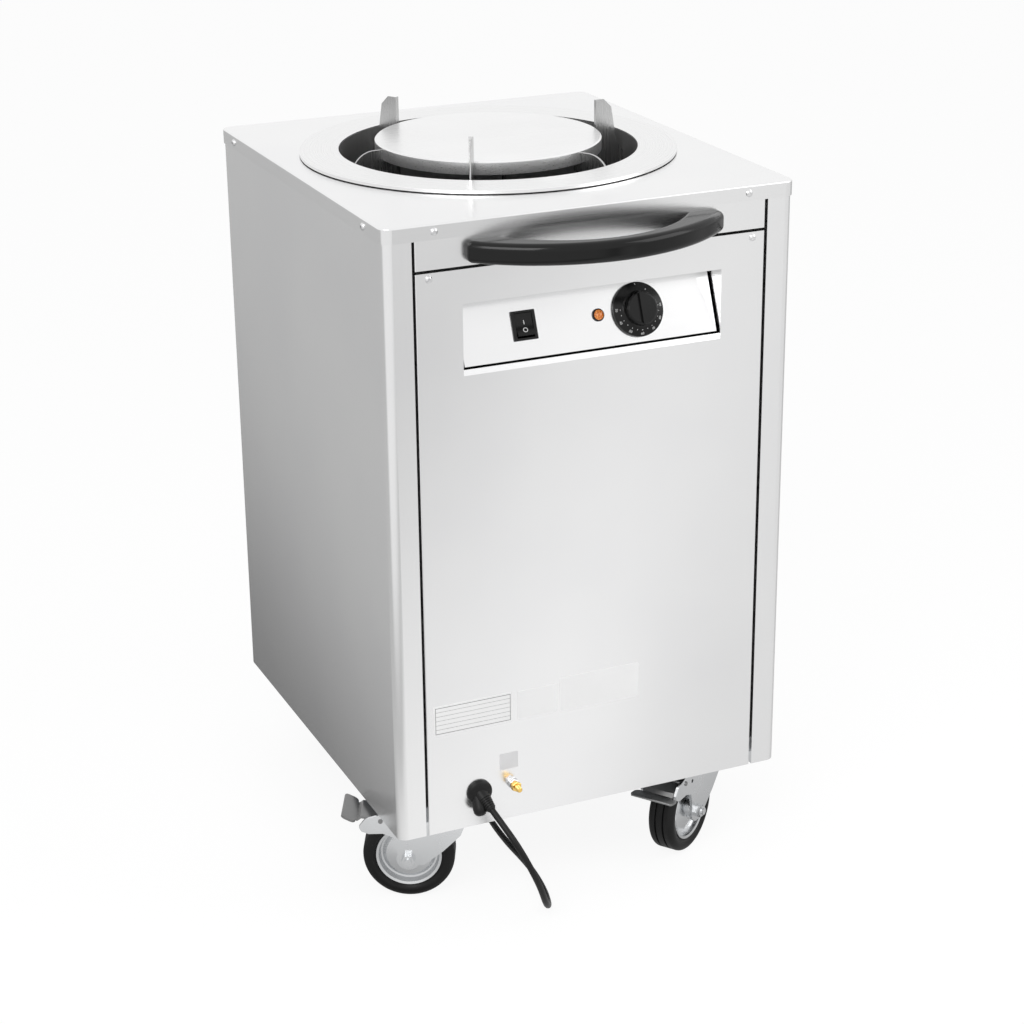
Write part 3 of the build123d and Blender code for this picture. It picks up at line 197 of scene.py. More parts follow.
def plastic(name, dark, light, roughness, grain_scale, depth, shine=0.5):
    """Moulded plastic or rubber: a faint unevenness of tone and gloss and a fine skin."""
    material, tree_nodes, links = new_material(name)
    shader = tree_nodes["Principled BSDF"]
    shader.inputs["Specular IOR Level"].default_value = shine
    broad = noise_node(tree_nodes, links, 22.0, 3.0, (1, 1, 1))
    fine = noise_node(tree_nodes, links, grain_scale, 3.0, (1, 1, 1))
    links.new(tinted(tree_nodes, links, broad.outputs["Fac"], dark, light), shader.inputs["Base Color"])
    links.new(mapped(tree_nodes, links, broad.outputs["Fac"], roughness, roughness + 0.06),
              shader.inputs["Roughness"])
    bumped(tree_nodes, links, fine.outputs["Fac"], shader, depth)
    return material


def metal(name, dark, light, rough_low, rough_high, grain, scale=1.0, depth=0.00002):
    """Bare or plated metal: a fine grain in its tone, roughness and surface."""
    material, tree_nodes, links = new_material(name)
    shader = tree_nodes["Principled BSDF"]
    shader.inputs["Metallic"].default_value = 1.0
    noise = noise_node(tree_nodes, links, scale, 4.0, grain)
    broad = noise_node(tree_nodes, links, 7.0, 2.0, (1, 1, 1))
    links.new(tinted(tree_nodes, links, broad.outputs["Fac"], dark, light), shader.inputs["Base Color"])
    links.new(mapped(tree_nodes, links, noise.outputs["Fac"], rough_low, rough_high),
              shader.inputs["Roughness"])
    bumped(tree_nodes, links, noise.outputs["Fac"], shader, depth)
    return material


def along_line(tree_nodes, links, start, way):
    """How far a point lies beyond start along a direction, in metres."""
    where = tree_nodes.new("ShaderNodeTexCoord")
    offset = tree_nodes.new("ShaderNodeVectorMath")
    offset.operation = "SUBTRACT"
    offset.inputs[1].default_value = start
    measure = tree_nodes.new("ShaderNodeVectorMath")
    measure.operation = "DOT_PRODUCT"
    measure.inputs[1].default_value = way
    links.new(where.outputs["Object"], offset.inputs[0])
    links.new(offset.outputs["Vector"], measure.inputs[0])
    return measure.outputs["Value"]


def beyond(tree_nodes, links, distance, threshold, blur=0.0002):
    """One where a distance is past a threshold, and none before it."""
    step = tree_nodes.new("ShaderNodeMapRange")
    step.inputs["From Min"].default_value = threshold - blur
    step.inputs["From Max"].default_value = threshold + blur
    links.new(distance, step.inputs["Value"])
    return step.outputs["Result"]


def finish_nodes(material, *names):
    """Gives carried-over nodes a finish."""
    for name in names:
        piece = nodes[name]
        piece.data.materials.clear()
        piece.data.materials.append(material)


cord_rubber = plastic("flex_rubber", (0.006, 0.006, 0.006), (0.010, 0.010, 0.010), 0.4, 900.0, 0.00004,
                      shine=0.25)
mains_flex.data.materials.append(cord_rubber)
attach(mains_flex, "cabinet")
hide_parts("power_cord", "cord_coil")

# Plug: a moulded rubber body with three brass pins, flat on the floor beside the coil.
plug_sleeve = 26.0
plug_body = 36.0
plug_face = plug_entry + leave_way * (plug_sleeve + plug_body)
pin_brass = (0.75, 0.55, 0.22)
plug_finish, tree_nodes, links = new_material("plug_finish")
shader = tree_nodes["Principled BSDF"]
is_pin = beyond(tree_nodes, links, along_line(tree_nodes, links, plug_face * MM, leave_way), 0.0)
plug_noise = noise_node(tree_nodes, links, 600.0, 3.0, (1, 1, 1))
plug_tone = tree_nodes.new("ShaderNodeMix")
plug_tone.data_type = "RGBA"
plug_tone.inputs["A"].default_value = (0.009, 0.009, 0.009, 1.0)
plug_tone.inputs["B"].default_value = (*pin_brass, 1.0)
links.new(is_pin, plug_tone.inputs["Factor"])
links.new(plug_tone.outputs["Result"], shader.inputs["Base Color"])
links.new(is_pin, shader.inputs["Metallic"])
links.new(mapped(tree_nodes, links, plug_noise.outputs["Fac"], 0.3, 0.42), shader.inputs["Roughness"])
bumped(tree_nodes, links, plug_noise.outputs["Fac"], shader, 0.00004)
finish_nodes(plug_finish, "mains_plug")

# Casing: side panels, front, fascia, lid and control plate of folded 1 mm stainless sheet. It is
# polished to a fine satin, brushed along each sheet, and screwed to an inner frame, made near black as
# painted shade for the gaps between the sheets.
steel_dark = (0.865, 0.865, 0.87)
steel_light = (0.895, 0.895, 0.895)
brushed_up = (1300.0, 1300.0, 6.0)
brushed_across = (6.0, 1300.0, 1300.0)
upright_sheet = metal("upright_sheet", steel_dark, steel_light, 0.235, 0.265, brushed_up, depth=0.0000012)
level_sheet = metal("level_sheet", steel_dark, steel_light, 0.235, 0.265, brushed_across, depth=0.0000012)
lid_sheet = metal("lid_sheet", (0.84, 0.84, 0.845), (0.87, 0.87, 0.87), 0.2, 0.24, brushed_across,
                  depth=0.0000012)
finish_nodes(upright_sheet, "side_panel_left", "side_panel_right", "rear_panel", "front_panel")
finish_nodes(level_sheet, "fascia_strip")
finish_nodes(lid_sheet, "lid", "control_plate")
galvanised = metal("galvanised", (0.50, 0.52, 0.54), (0.62, 0.64, 0.66), 0.35, 0.5, (60.0, 60.0, 60.0))
finish_nodes(galvanised, "base_plate")
# the inner frame's near black is painted shade: it stands for the shade seen in the gaps between the sheets
frame_painted_shade_black = plastic("frame_painted_shade_black", (0.010, 0.010, 0.010), (0.016, 0.016, 0.016), 0.5, 300.0, 0.00003,
                      shine=0.2)
finish_nodes(frame_painted_shade_black, "front_frame")

# Casing screws: button-head screws with a hex socket, of stainless steel. They hold the lid's
# skirt, the front panel and the rear panel.
head_radius = 3.8
head_height = 2.2
socket_across = 2.5


def drawn_up(name, profile, sides=48, smooth_to=35.0):
    """A round piece drawn up from a disc: each step extrudes the end face and scales it, in mm."""
    bpy.ops.object.select_all(action="DESELECT")
    (low, wide), *steps = profile
    bpy.ops.mesh.primitive_circle_add(vertices=sides, radius=wide * MM, fill_type="NGON")
    piece = bpy.context.object
    piece.name = name
    bpy.ops.object.mode_set(mode="EDIT")
    bpy.ops.mesh.select_all(action="SELECT")
    bpy.ops.transform.translate(value=(0, 0, low * MM))
    for height, radius in steps:
        bpy.ops.mesh.extrude_region_move(
            TRANSFORM_OT_translate={"value": (0, 0, (height - low) * MM)})
        bpy.ops.transform.resize(value=(radius / wide, radius / wide, 1),
                                 center_override=(0, 0, height * MM))
        low, wide = height, radius
    bpy.ops.mesh.select_all(action="SELECT")
    bpy.ops.mesh.normals_make_consistent(inside=False)
    bpy.ops.object.mode_set(mode="OBJECT")
    bpy.ops.object.shade_smooth_by_angle(angle=radians(smooth_to))
    return piece


def facing(place, way, upwards=Vector((0, 0, 1))):
    """The place of a piece whose Z looks along way; place in mm."""
    across = upwards.cross(way).normalized()
    up = way.cross(across)
    turn = Matrix((across, up, way)).transposed().to_4x4()
    return Matrix.Translation(place * MM) @ turn


def copied(piece, name, place):
    """A copy of a piece with its own mesh, put in place in its mesh."""
    twin = piece.copy()
    twin.data = piece.data.copy()
    twin.name = name
    bpy.context.scene.collection.objects.link(twin)
    twin.data.transform(place)
    return twin


def joined(name, pieces):
    """Several pieces made one object."""
    bpy.ops.object.select_all(action="DESELECT")
    for piece in pieces:
        piece.select_set(True)
    bpy.context.view_layer.objects.active = pieces[0]
    bpy.ops.object.join()
    group = bpy.context.object
    group.name = name
    return group


def cut_out(piece, cutter):
    """Cuts one piece's shape out of another."""
    cutting = piece.modifiers.new("cut", "BOOLEAN")
    cutting.object = cutter
    cutting.operation = "DIFFERENCE"
    cutting.solver = "EXACT"
    bpy.context.view_layer.objects.active = piece
    bpy.ops.object.modifier_apply(modifier="cut")
    bpy.data.objects.remove(cutter)


button = drawn_up("button_screw", [
    (-0.6, 3.0), (0.0, head_radius), (0.35, head_radius), (0.9, 3.55), (1.4, 3.1), (1.8, 2.6),
    (head_height, 1.9),
], sides=40)
bpy.ops.mesh.primitive_cylinder_add(vertices=6, radius=socket_across / sqrt(3) * MM, depth=2.6 * MM,
                                    location=(0, 0, 2.3 * MM))
cut_out(button, bpy.context.object)
cabinet_depth = 500.0
back_y_mm = front_y_mm + cabinet_depth
cabinet_y_mm = cabinet_y / MM
skirt_z = 757.0
skirt_front_x = 172.0
skirt_out_y = 251.5
skirt_out_x = 226.5
skirt_side_y = 203.0
panel_screw_x = 178.0
panel_screw_z = 710.0
rear_screw_x = 198.0
rear_sheet = 1.2
screw_places = []
for sign in (-1, 1):
    across = cabinet_x_mm + sign * skirt_front_x
    along = cabinet_y_mm + sign * skirt_side_y
    screw_places += [
        (Vector((across, cabinet_y_mm - skirt_out_y, skirt_z)), Vector((0, -1, 0))),
        (Vector((across, cabinet_y_mm + skirt_out_y, skirt_z)), Vector((0, 1, 0))),
        (Vector((cabinet_x_mm + skirt_out_x, along, skirt_z)), Vector((1, 0, 0))),
        (Vector((cabinet_x_mm - skirt_out_x, along, skirt_z)), Vector((-1, 0, 0))),
        (Vector((cabinet_x_mm + sign * panel_screw_x, front_y_mm, panel_screw_z)), Vector((0, -1, 0))),
    ]
    for height in (150.0, 335.0, 530.0, 728.0):
        rear_place = Vector((cabinet_x_mm + sign * rear_screw_x, back_y_mm + rear_sheet, height))
        screw_places.append((rear_place, Vector((0, 1, 0))))
screws = [copied(button, "casing_screw", facing(place, way)) for place, way in screw_places]
bpy.data.objects.remove(button)
casing_buttons = joined("casing_button_screws", screws)
screw_steel = metal("screw_steel", (0.7, 0.7, 0.71), (0.82, 0.82, 0.82), 0.16, 0.26, (200.0, 200.0, 200.0))
casing_buttons.data.materials.append(screw_steel)
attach(casing_buttons, "cabinet")
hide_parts("casing_screws")

# Plate tube, its ring, the guides and the carrier: stainless steel. The ring and the tube were
# spun, which leaves fine circles round their axis, and the disc is brushed straight. The tube, the
# carrier's hoop, the guides and the carrier's arms get darker copies of the steel as painted shade for the
# inside of the tube.
tube_x = cabinet_x
tube_y = cabinet_y + 0.015


def spun_metal(name, dark, light, rough_low, rough_high):
    """Metal turned on a lathe, with fine circles round the tube's axis."""
    material, tree_nodes, links = new_material(name)
    shader = tree_nodes["Principled BSDF"]
    shader.inputs["Metallic"].default_value = 1.0
    where = tree_nodes.new("ShaderNodeTexCoord")
    centred = tree_nodes.new("ShaderNodeMapping")
    centred.inputs["Location"].default_value = (-tube_x, -tube_y, 0.0)
    centred.inputs["Scale"].default_value = (1.0, 1.0, 0.0)
    distance = tree_nodes.new("ShaderNodeVectorMath")
    distance.operation = "LENGTH"
    circles = tree_nodes.new("ShaderNodeTexNoise")
    circles.noise_dimensions = "1D"
    circles.inputs["Scale"].default_value = 900.0
    circles.inputs["Detail"].default_value = 3.0
    links.new(where.outputs["Object"], centred.inputs["Vector"])
    links.new(centred.outputs["Vector"], distance.inputs[0])
    links.new(distance.outputs["Value"], circles.inputs["W"])
    links.new(tinted(tree_nodes, links, circles.outputs["Fac"], dark, light), shader.inputs["Base Color"])
    links.new(mapped(tree_nodes, links, circles.outputs["Fac"], rough_low, rough_high),
              shader.inputs["Roughness"])
    bumped(tree_nodes, links, circles.outputs["Fac"], shader, 0.00001)
    return material


ring_steel = spun_metal("ring_steel", (0.80, 0.80, 0.80), (0.88, 0.88, 0.88), 0.24, 0.32)
finish_nodes(ring_steel, "top_ring")
# darker copy of the ring's steel: painted shade for the inside of the tube
tube_steel_painted_shade = spun_metal("tube_steel_painted_shade", (0.34, 0.34, 0.34), (0.44, 0.44, 0.44), 0.32, 0.42)
finish_nodes(tube_steel_painted_shade, "plate_tube", "carrier_hoop")
disc_steel = metal("disc_steel", (0.84, 0.84, 0.84), (0.90, 0.90, 0.90), 0.26, 0.34,
                   brushed_across, depth=0.00001)
finish_nodes(disc_steel, "carrier_disc")
# darker copy of the disc's steel: painted shade for the guides and arms inside the tube
guide_steel_painted_shade = metal("guide_steel_painted_shade", (0.42, 0.42, 0.42), (0.55, 0.55, 0.55), 0.2, 0.3, brushed_up)
finish_nodes(guide_steel_painted_shade, "guide_front_left", "guide_right", "guide_rear_left",
             "carrier_arm_front_right", "carrier_arm_rear_right", "carrier_arm_left")

# Lift springs: close-wound springs of hard-drawn wire, hooked to anchors under the lid.
spring_wire = metal("spring_wire", (0.42, 0.42, 0.43), (0.54, 0.54, 0.55), 0.26, 0.36, (200.0, 200.0, 30.0))
finish_nodes(spring_wire, "lift_spring_front_right", "lift_spring_rear_right", "lift_spring_left")
finish_nodes(galvanised, "spring_anchors")

# Heating: a tubular element blued by its own heat, on clips, and its terminal block.
element_steel = metal("element_steel", (0.2, 0.17, 0.15), (0.36, 0.33, 0.3), 0.4, 0.55, (80.0, 80.0, 80.0))
finish_nodes(element_steel, "heater_element", "thermostat_spindle")
finish_nodes(galvanised, "heater_brackets")
insulator = plastic("moulded_insulator", (0.6, 0.58, 0.53), (0.7, 0.68, 0.62), 0.5, 300.0, 0.00005)
finish_nodes(insulator, "thermostat", "terminal_block")

# Switch: a black nylon housing snapped into the plate, with a rocker that tips in it. The rocker
# has a white stroke over a white ring, printed in its hollow face.
control_nylon = plastic("control_nylon", (0.004, 0.004, 0.004), (0.007, 0.007, 0.007), 0.2, 700.0, 0.00002,
                        shine=0.28)
finish_nodes(control_nylon, "temperature_knob", "switch_housing", "switch_rocker", "lamp_bezel")
joint_places = {joint["name"]: joint for joint in frame["joints"]}
knob_joint = joint_places["knob_turn"]
outwards = -Vector(knob_joint["axis"]).normalized()
rightwards = Vector((1, 0, 0))
upslope = outwards.cross(rightwards)
rocker_centre = Vector(joint_places["rocker_tip"]["pos_m"]) / MM
rocker_rest = radians(-8.0)
rocker_up = upslope * cos(rocker_rest) + outwards * sin(rocker_rest)
rocker_out = outwards * cos(rocker_rest) - upslope * sin(rocker_rest)
print_height = 0.12
rocker_half = 11.5
rocker_middle = 3.42
rocker_hollow = 2.0


def on_rocker(up):
    """A place on the rocker's hollow face, at a distance above its pivot line, in mm."""
    out = rocker_middle + rocker_hollow * (up / rocker_half) ** 2
    slope = 2 * rocker_hollow * up / rocker_half ** 2
    way = (rocker_out - rocker_up * slope).normalized()
    return facing(rocker_centre + rocker_up * up + rocker_out * out, way, rocker_up + rocker_out * slope)


bpy.ops.object.select_all(action="DESELECT")
bpy.ops.mesh.primitive_cube_add(size=1.0)
stroke = bpy.context.object
stroke.data.transform(Matrix.Diagonal((0.8 * MM, 4.2 * MM, 2 * print_height * MM, 1.0)))
bpy.ops.object.mode_set(mode="EDIT")
bpy.ops.mesh.select_all(action="SELECT")
bpy.ops.mesh.bevel(offset=0.08 * MM, segments=2)
bpy.ops.object.mode_set(mode="OBJECT")
stroke.data.transform(on_rocker(2.6))
bpy.ops.mesh.primitive_torus_add(major_radius=2.2 * MM, minor_radius=0.4 * MM,
                                 major_segments=40, minor_segments=10)
ring_mark = bpy.context.object
bpy.ops.object.shade_smooth()
ring_mark.data.transform(Matrix.Diagonal((1.0, 1.0, 0.3, 1.0)))
ring_mark.data.transform(on_rocker(-5.4))
rocker_marks = joined("rocker_marks", [stroke, ring_mark])
white_print = plastic("white_print", (0.74, 0.74, 0.74), (0.82, 0.82, 0.82), 0.45, 900.0, 0.00002)
rocker_marks.data.materials.append(white_print)
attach(rocker_marks, "rocker")

# Lamp: an amber lens, faceted inside, in a black ring.
lens_amber, tree_nodes, links = new_material("lens_amber")
shader = tree_nodes["Principled BSDF"]
facets = tree_nodes.new("ShaderNodeTexVoronoi")
facets.inputs["Scale"].default_value = 620.0
where = tree_nodes.new("ShaderNodeTexCoord")
links.new(where.outputs["Object"], facets.inputs["Vector"])
links.new(tinted(tree_nodes, links, facets.outputs["Distance"], (1.0, 0.36, 0.05), (0.62, 0.12, 0.01)),
          shader.inputs["Base Color"])
shader.inputs["Roughness"].default_value = 0.18
shader.inputs["Coat Weight"].default_value = 0.6
shader.inputs["Emission Color"].default_value = (1.0, 0.30, 0.03, 1.0)
shader.inputs["Emission Strength"].default_value = 0.06
bumped(tree_nodes, links, facets.outputs["Distance"], shader, 0.0004)
finish_nodes(lens_amber, "lamp_lens")

# Temperature knob: black nylon, with white figures and dots printed round the cone of its dial,
# and an index line. The print turns with it.
knob_centre = Vector(knob_joint["pos_m"]) / MM
cone_foot = (28.0, 3.0)
cone_head = (19.5, 6.2)
cone_slope = atan2(cone_head[1] - cone_foot[1], cone_foot[0] - cone_head[0])


def on_dial(radius, angle):
    """A place on the dial's cone, in mm from the axis and degrees from the right."""
    share = (cone_foot[0] - radius) / (cone_foot[0] - cone_head[0])
    height = cone_foot[1] + share * (cone_head[1] - cone_foot[1])
    spoke = rightwards * cos(radians(angle)) + upslope * sin(radians(angle))
    way = outwards * cos(cone_slope) + spoke * sin(cone_slope)
    outer = (spoke * cos(cone_slope) - outwards * sin(cone_slope)).normalized()
    return facing(knob_centre + spoke * radius + outwards * height, way, -outer)


marks = []
first_angle, last_angle = 176.0, 364.0
figure_size = 3.6
figure_radius = 25.0
dot_radius = 21.4
figures = ("30", "40", "50", "60", "70", "80", "90")
figure_step = (last_angle - first_angle) / (len(figures) - 1)
for count, figure in enumerate(figures):
    angle = first_angle + count * figure_step
    bpy.ops.object.select_all(action="DESELECT")
    bpy.ops.object.text_add()
    text = bpy.context.object
    text.data.body = figure
    text.data.size = figure_size * MM
    text.data.align_x = "CENTER"
    text.data.align_y = "CENTER"
    text.data.extrude = print_height * MM
    text.data.resolution_u = 3
    bpy.ops.object.convert(target="MESH")
    text.data.transform(on_dial(figure_radius, angle))
    marks.append(text)
bpy.ops.mesh.primitive_cylinder_add(vertices=16, radius=0.42 * MM, depth=2 * print_height * MM)
dot = bpy.context.object
for count in range(2 * len(figures) - 1):
    dot_place = on_dial(dot_radius, first_angle + count * figure_step / 2)
    marks.append(copied(dot, "dial_dot", dot_place))
for radius, angle, length in ((25.6, 90.0, 2.6), (21.6, 62.0, 2.4)):
    bar = copied(dot, "dial_line", Matrix.Diagonal((1.0, length, 1.0, 1.0)))
    bar.data.transform(on_dial(radius, angle))
    marks.append(bar)
bpy.data.objects.remove(dot)
dial_marks = joined("dial_marks", marks)
dial_marks.data.materials.clear()
dial_marks.data.materials.append(white_print)
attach(dial_marks, "knob")

# Handle: one gloss black moulding, bolted to the fascia from behind.
handle_gloss = plastic("handle_gloss", (0.003, 0.003, 0.003), (0.005, 0.005, 0.005), 0.12, 500.0, 0.000008,
                       shine=0.3)
finish_nodes(handle_gloss, "handle")

# Labels low on the front: a framed and ruled white one, two plain white ones and a small grey
# one, of coated paper. All are left bare of print.
plate_thickness = 0.3
white_paper = plastic("white_paper", (0.95, 0.95, 0.95), (0.98, 0.98, 0.98), 0.4, 800.0, 0.00002)
grey_paper = plastic("grey_paper", (0.76, 0.76, 0.77), (0.81, 0.81, 0.82), 0.4, 800.0, 0.00002)
rule_ink = plastic("rule_ink", (0.10, 0.10, 0.10), (0.16, 0.16, 0.16), 0.5, 900.0, 0.00001)


def stuck_on(name, left, right, low, high, finish):
    """A thin plate with rounded corners on the front panel, in mm from the middle and the floor."""
    bpy.ops.object.select_all(action="DESELECT")
    bpy.ops.mesh.primitive_plane_add(size=1.0)
    plate = bpy.context.object
    plate.name = name
    plate.data.transform(Matrix.Diagonal(((right - left) * MM, (high - low) * MM, 1.0, 1.0)))
    bpy.ops.object.mode_set(mode="EDIT")
    bpy.ops.mesh.select_all(action="SELECT")
    bpy.ops.mesh.bevel(offset=1.5 * MM, segments=4, affect="VERTICES")
    bpy.ops.mesh.extrude_region_move(TRANSFORM_OT_translate={"value": (0, 0, plate_thickness * MM)})
    bpy.ops.mesh.inset(thickness=0.15 * MM, depth=0.0)
    bpy.ops.mesh.select_all(action="SELECT")
    bpy.ops.mesh.normals_make_consistent(inside=False)
    bpy.ops.object.mode_set(mode="OBJECT")
    middle = Vector((cabinet_x_mm + (left + right) / 2, front_y_mm, (low + high) / 2))
    plate.data.transform(facing(middle, Vector((0, -1, 0))))
    plate.data.materials.append(finish)
    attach(plate, "cabinet")
    return plate


stuck_on("rating_plate", -184, -95, 219, 253, white_paper)
stuck_on("label_left", -89, -44, 219, 252, white_paper)
stuck_on("label_right", -40, 53, 218, 258, white_paper)
stuck_on("bonding_sticker", -110, -89, 164, 183, grey_paper)

# the rating plate's printed frame and rules
bpy.ops.object.select_all(action="DESELECT")
bpy.ops.mesh.primitive_cube_add(size=1.0)
rule = bpy.context.object
rules = []
frame_left, frame_right, frame_low, frame_high = -182.0, -97.0, 221.0, 251.0
line_width = 0.5
rule_lines = [
    (frame_left, frame_right, frame_low, frame_low + line_width),
    (frame_left, frame_right, frame_high - line_width, frame_high),
    (frame_left, frame_left + line_width, frame_low, frame_high),
    (frame_right - line_width, frame_right, frame_low, frame_high),
]
for count in range(1, 6):
    level = frame_low + count * (frame_high - frame_low) / 6
    rule_lines.append((frame_left, frame_right, level, level + 0.25))
for left, right, low, high in rule_lines:
    shape = Matrix.Diagonal(((right - left) * MM, (high - low) * MM, 0.1 * MM, 1.0))
    middle = Vector((cabinet_x_mm + (left + right) / 2, front_y_mm - plate_thickness, (low + high) / 2))
    rules.append(copied(rule, "plate_rule", facing(middle, Vector((0, -1, 0))) @ shape))
bpy.data.objects.remove(rule)
plate_rules = joined("rating_plate_rules", rules)
plate_rules.data.materials.append(rule_ink)
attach(plate_rules, "cabinet")

# Cord gland: a black rubber flange with a domed face, a rounded lug below it, and a ribbed boot
# that turns the cord down and to the right. It is pushed through the panel from outside.
gland_face = Vector((gland_x, front_y_mm, gland_z))
gland_dome = drawn_up("gland_flange", [
    (-0.4, 14.0), (2.2, 14.0), (3.4, 13.4), (4.4, 12.2), (5.2, 10.2), (5.7, 7.6), (6.0, 4.0), (6.1, 0.6),
])
gland_dome.data.transform(facing(gland_face, Vector((0, -1, 0))))
gland_lug = drawn_up("gland_lug", [
    (-1.0, 7.4), (13.0, 7.4), (16.5, 6.9), (19.0, 5.6), (20.4, 3.6), (21.0, 0.5),
], sides=36)
lug_way = Vector((-0.1, -0.66, -0.74)).normalized()
gland_lug.data.transform(facing(gland_face + Vector((-2.5, -1, -5)), lug_way))
boot_profile = [(0.0, 8.2), (8.0, 7.9)]
for count in range(6):
    start = 8.6 + 2.4 * count
    wide = 7.8 - 0.42 * count
    boot_profile += [(start, wide), (start + 1.3, wide - 0.1)]
    boot_profile += [(start + 1.6, wide - 0.9), (start + 2.1, wide - 0.9)]
boot_profile += [(23.2, 4.6), (23.9, 4.2), (boot_length, 3.5)]
gland_boot = drawn_up("gland_boot", boot_profile, sides=40)
gland_boot.data.transform(facing(boot_root, exit_way))
gland_rubber = joined("gland_rubber", [gland_dome, gland_lug, gland_boot])
gland_rubber.data.materials.append(cord_rubber)
finish_nodes(cord_rubber, "cord_gland")
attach(gland_rubber, "cabinet")
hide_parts("cord_gland")

# Bonding terminal: a brass stud through the panel, with a steel washer and nut against the sheet
# and a brass nut outside, for the equipotential lead.
stud_x = cabinet_x_mm - 96.0
stud_z = 147.0
stud_face = Vector((stud_x, front_y_mm, stud_z))
straight_out = Vector((0, -1, 0))


def hex_nut(name, start, thickness, across):
    """A chamfered hex nut standing on the panel, in mm."""
    nut = drawn_up(name, [
        (start, across / sqrt(3) - 0.5), (start + 0.4, across / sqrt(3)),
        (start + thickness - 0.4, across / sqrt(3)), (start + thickness, across / sqrt(3) - 0.5),
    ], sides=6, smooth_to=20.0)
    nut.data.transform(facing(stud_face, straight_out))
    return nut


washer = drawn_up("bonding_washer", [(0.0, 6.2), (0.9, 6.2), (1.2, 5.9)])
washer.data.transform(facing(stud_face, straight_out))
steel_fixing = joined("bonding_washer_and_nut", [washer, hex_nut("panel_nut", 1.2, 5.0, 10.0)])
steel_fixing.data.materials.append(screw_steel)
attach(steel_fixing, "cabinet")
stud_profile = [(-6.0, 2.9), (6.2, 2.9)]
for count in range(20):
    ridge = 6.3 + 0.72 * count
    stud_profile += [(ridge, 3.0), (ridge + 0.36, 2.6)]
stud_profile += [(20.6, 2.7), (21.0, 2.2)]
stud = drawn_up("stud_thread", stud_profile, sides=32)
stud.data.transform(facing(stud_face, straight_out))
bonding_stud = joined("bonding_stud_and_nut", [stud, hex_nut("lead_nut", 8.0, 5.0, 10.0)])
stud_brass = metal("stud_brass", (0.80, 0.50, 0.14), (0.92, 0.66, 0.24), 0.16, 0.26, (300.0, 300.0, 300.0))
bonding_stud.data.materials.append(stud_brass)
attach(bonding_stud, "cabinet")
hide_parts("earth_stud")

# Casters: pressed forks, top plates, axles and dished rims of zinc-plated steel, with solid black
# tyres. The brake pedals of the two front ones are thick steel plate, given a dark grey as a painted
# reflection of their dark surroundings.
corners = ("front_left", "front_right", "rear_left", "rear_right")
bright_zinc = metal("bright_zinc", (0.66, 0.67, 0.68), (0.80, 0.81, 0.82), 0.18, 0.30, (45.0, 45.0, 45.0),
                    depth=0.00001)
finish_nodes(bright_zinc, "caster_plates", "caster_bolts",
             *[kind + corner for kind in ("caster_fork_", "caster_axle_", "rim_") for corner in corners])
# the pedals' dark grey is a painted reflection of dark surroundings on bright plated steel
pedal_painted_dark_reflection = metal("pedal_painted_dark_reflection", (0.20, 0.20, 0.20), (0.30, 0.30, 0.30), 0.28, 0.4, (40.0, 40.0, 40.0))
finish_nodes(pedal_painted_dark_reflection, "brake_pedal_front_left", "brake_pedal_front_right")
tyre_rubber = plastic("tyre_rubber", (0.004, 0.004, 0.004), (0.008, 0.008, 0.008), 0.4, 1200.0, 0.00006,
                      shine=0.25)
finish_nodes(tyre_rubber, *["tyre_" + corner for corner in corners])

# The studio: a white floor and surroundings, and two soft lamps. In mirrored rays the floor shows
# painted reflection: greys graded over it that set the bare steel's tones, with painted shade darkest close
# beside the cabinet.
bpy.ops.object.select_all(action="DESELECT")
bpy.ops.mesh.primitive_plane_add(size=40.0)
studio_floor = bpy.context.object
studio_floor.name = "studio_floor"
floor_white_and_painted_reflection, tree_nodes, links = new_material("floor_white_and_painted_reflection")
shader = tree_nodes["Principled BSDF"]
shader.inputs["Base Color"].default_value = (0.9, 0.9, 0.9, 1.0)
shader.inputs["Roughness"].default_value = 0.9
rays = tree_nodes.new("ShaderNodeLightPath")
seen = tree_nodes.new("ShaderNodeMath")
seen.operation = "MAXIMUM"
links.new(rays.outputs["Is Camera Ray"], seen.inputs[0])
links.new(rays.outputs["Is Transmission Ray"], seen.inputs[1])
share = tree_nodes.new("ShaderNodeMath")
share.operation = "MULTIPLY"
share.inputs[1].default_value = 0.86
links.new(seen.outputs["Value"], share.inputs[0])
white_glow = tree_nodes.new("ShaderNodeEmission")
white_glow.inputs["Strength"].default_value = 1.05
with_white = tree_nodes.new("ShaderNodeMixShader")
links.new(share.outputs["Value"], with_white.inputs["Fac"])
links.new(shader.outputs["BSDF"], with_white.inputs[1])
links.new(white_glow.outputs["Emission"], with_white.inputs[2])
place = tree_nodes.new("ShaderNodeTexCoord")
apart = tree_nodes.new("ShaderNodeSeparateXYZ")
links.new(place.outputs["Object"], apart.inputs["Vector"])
side_distance = tree_nodes.new("ShaderNodeMath")
side_distance.operation = "ABSOLUTE"
links.new(apart.outputs["X"], side_distance.inputs[0])
side_mirror = tree_nodes.new("ShaderNodeMath")
side_mirror.operation = "MULTIPLY"
side_mirror.inputs[1].default_value = -1.0
links.new(side_distance.outputs["Value"], side_mirror.inputs[0])
flank = tree_nodes.new("ShaderNodeCombineXYZ")
links.new(side_mirror.outputs["Value"], flank.inputs["X"])
links.new(apart.outputs["Y"], flank.inputs["Y"])


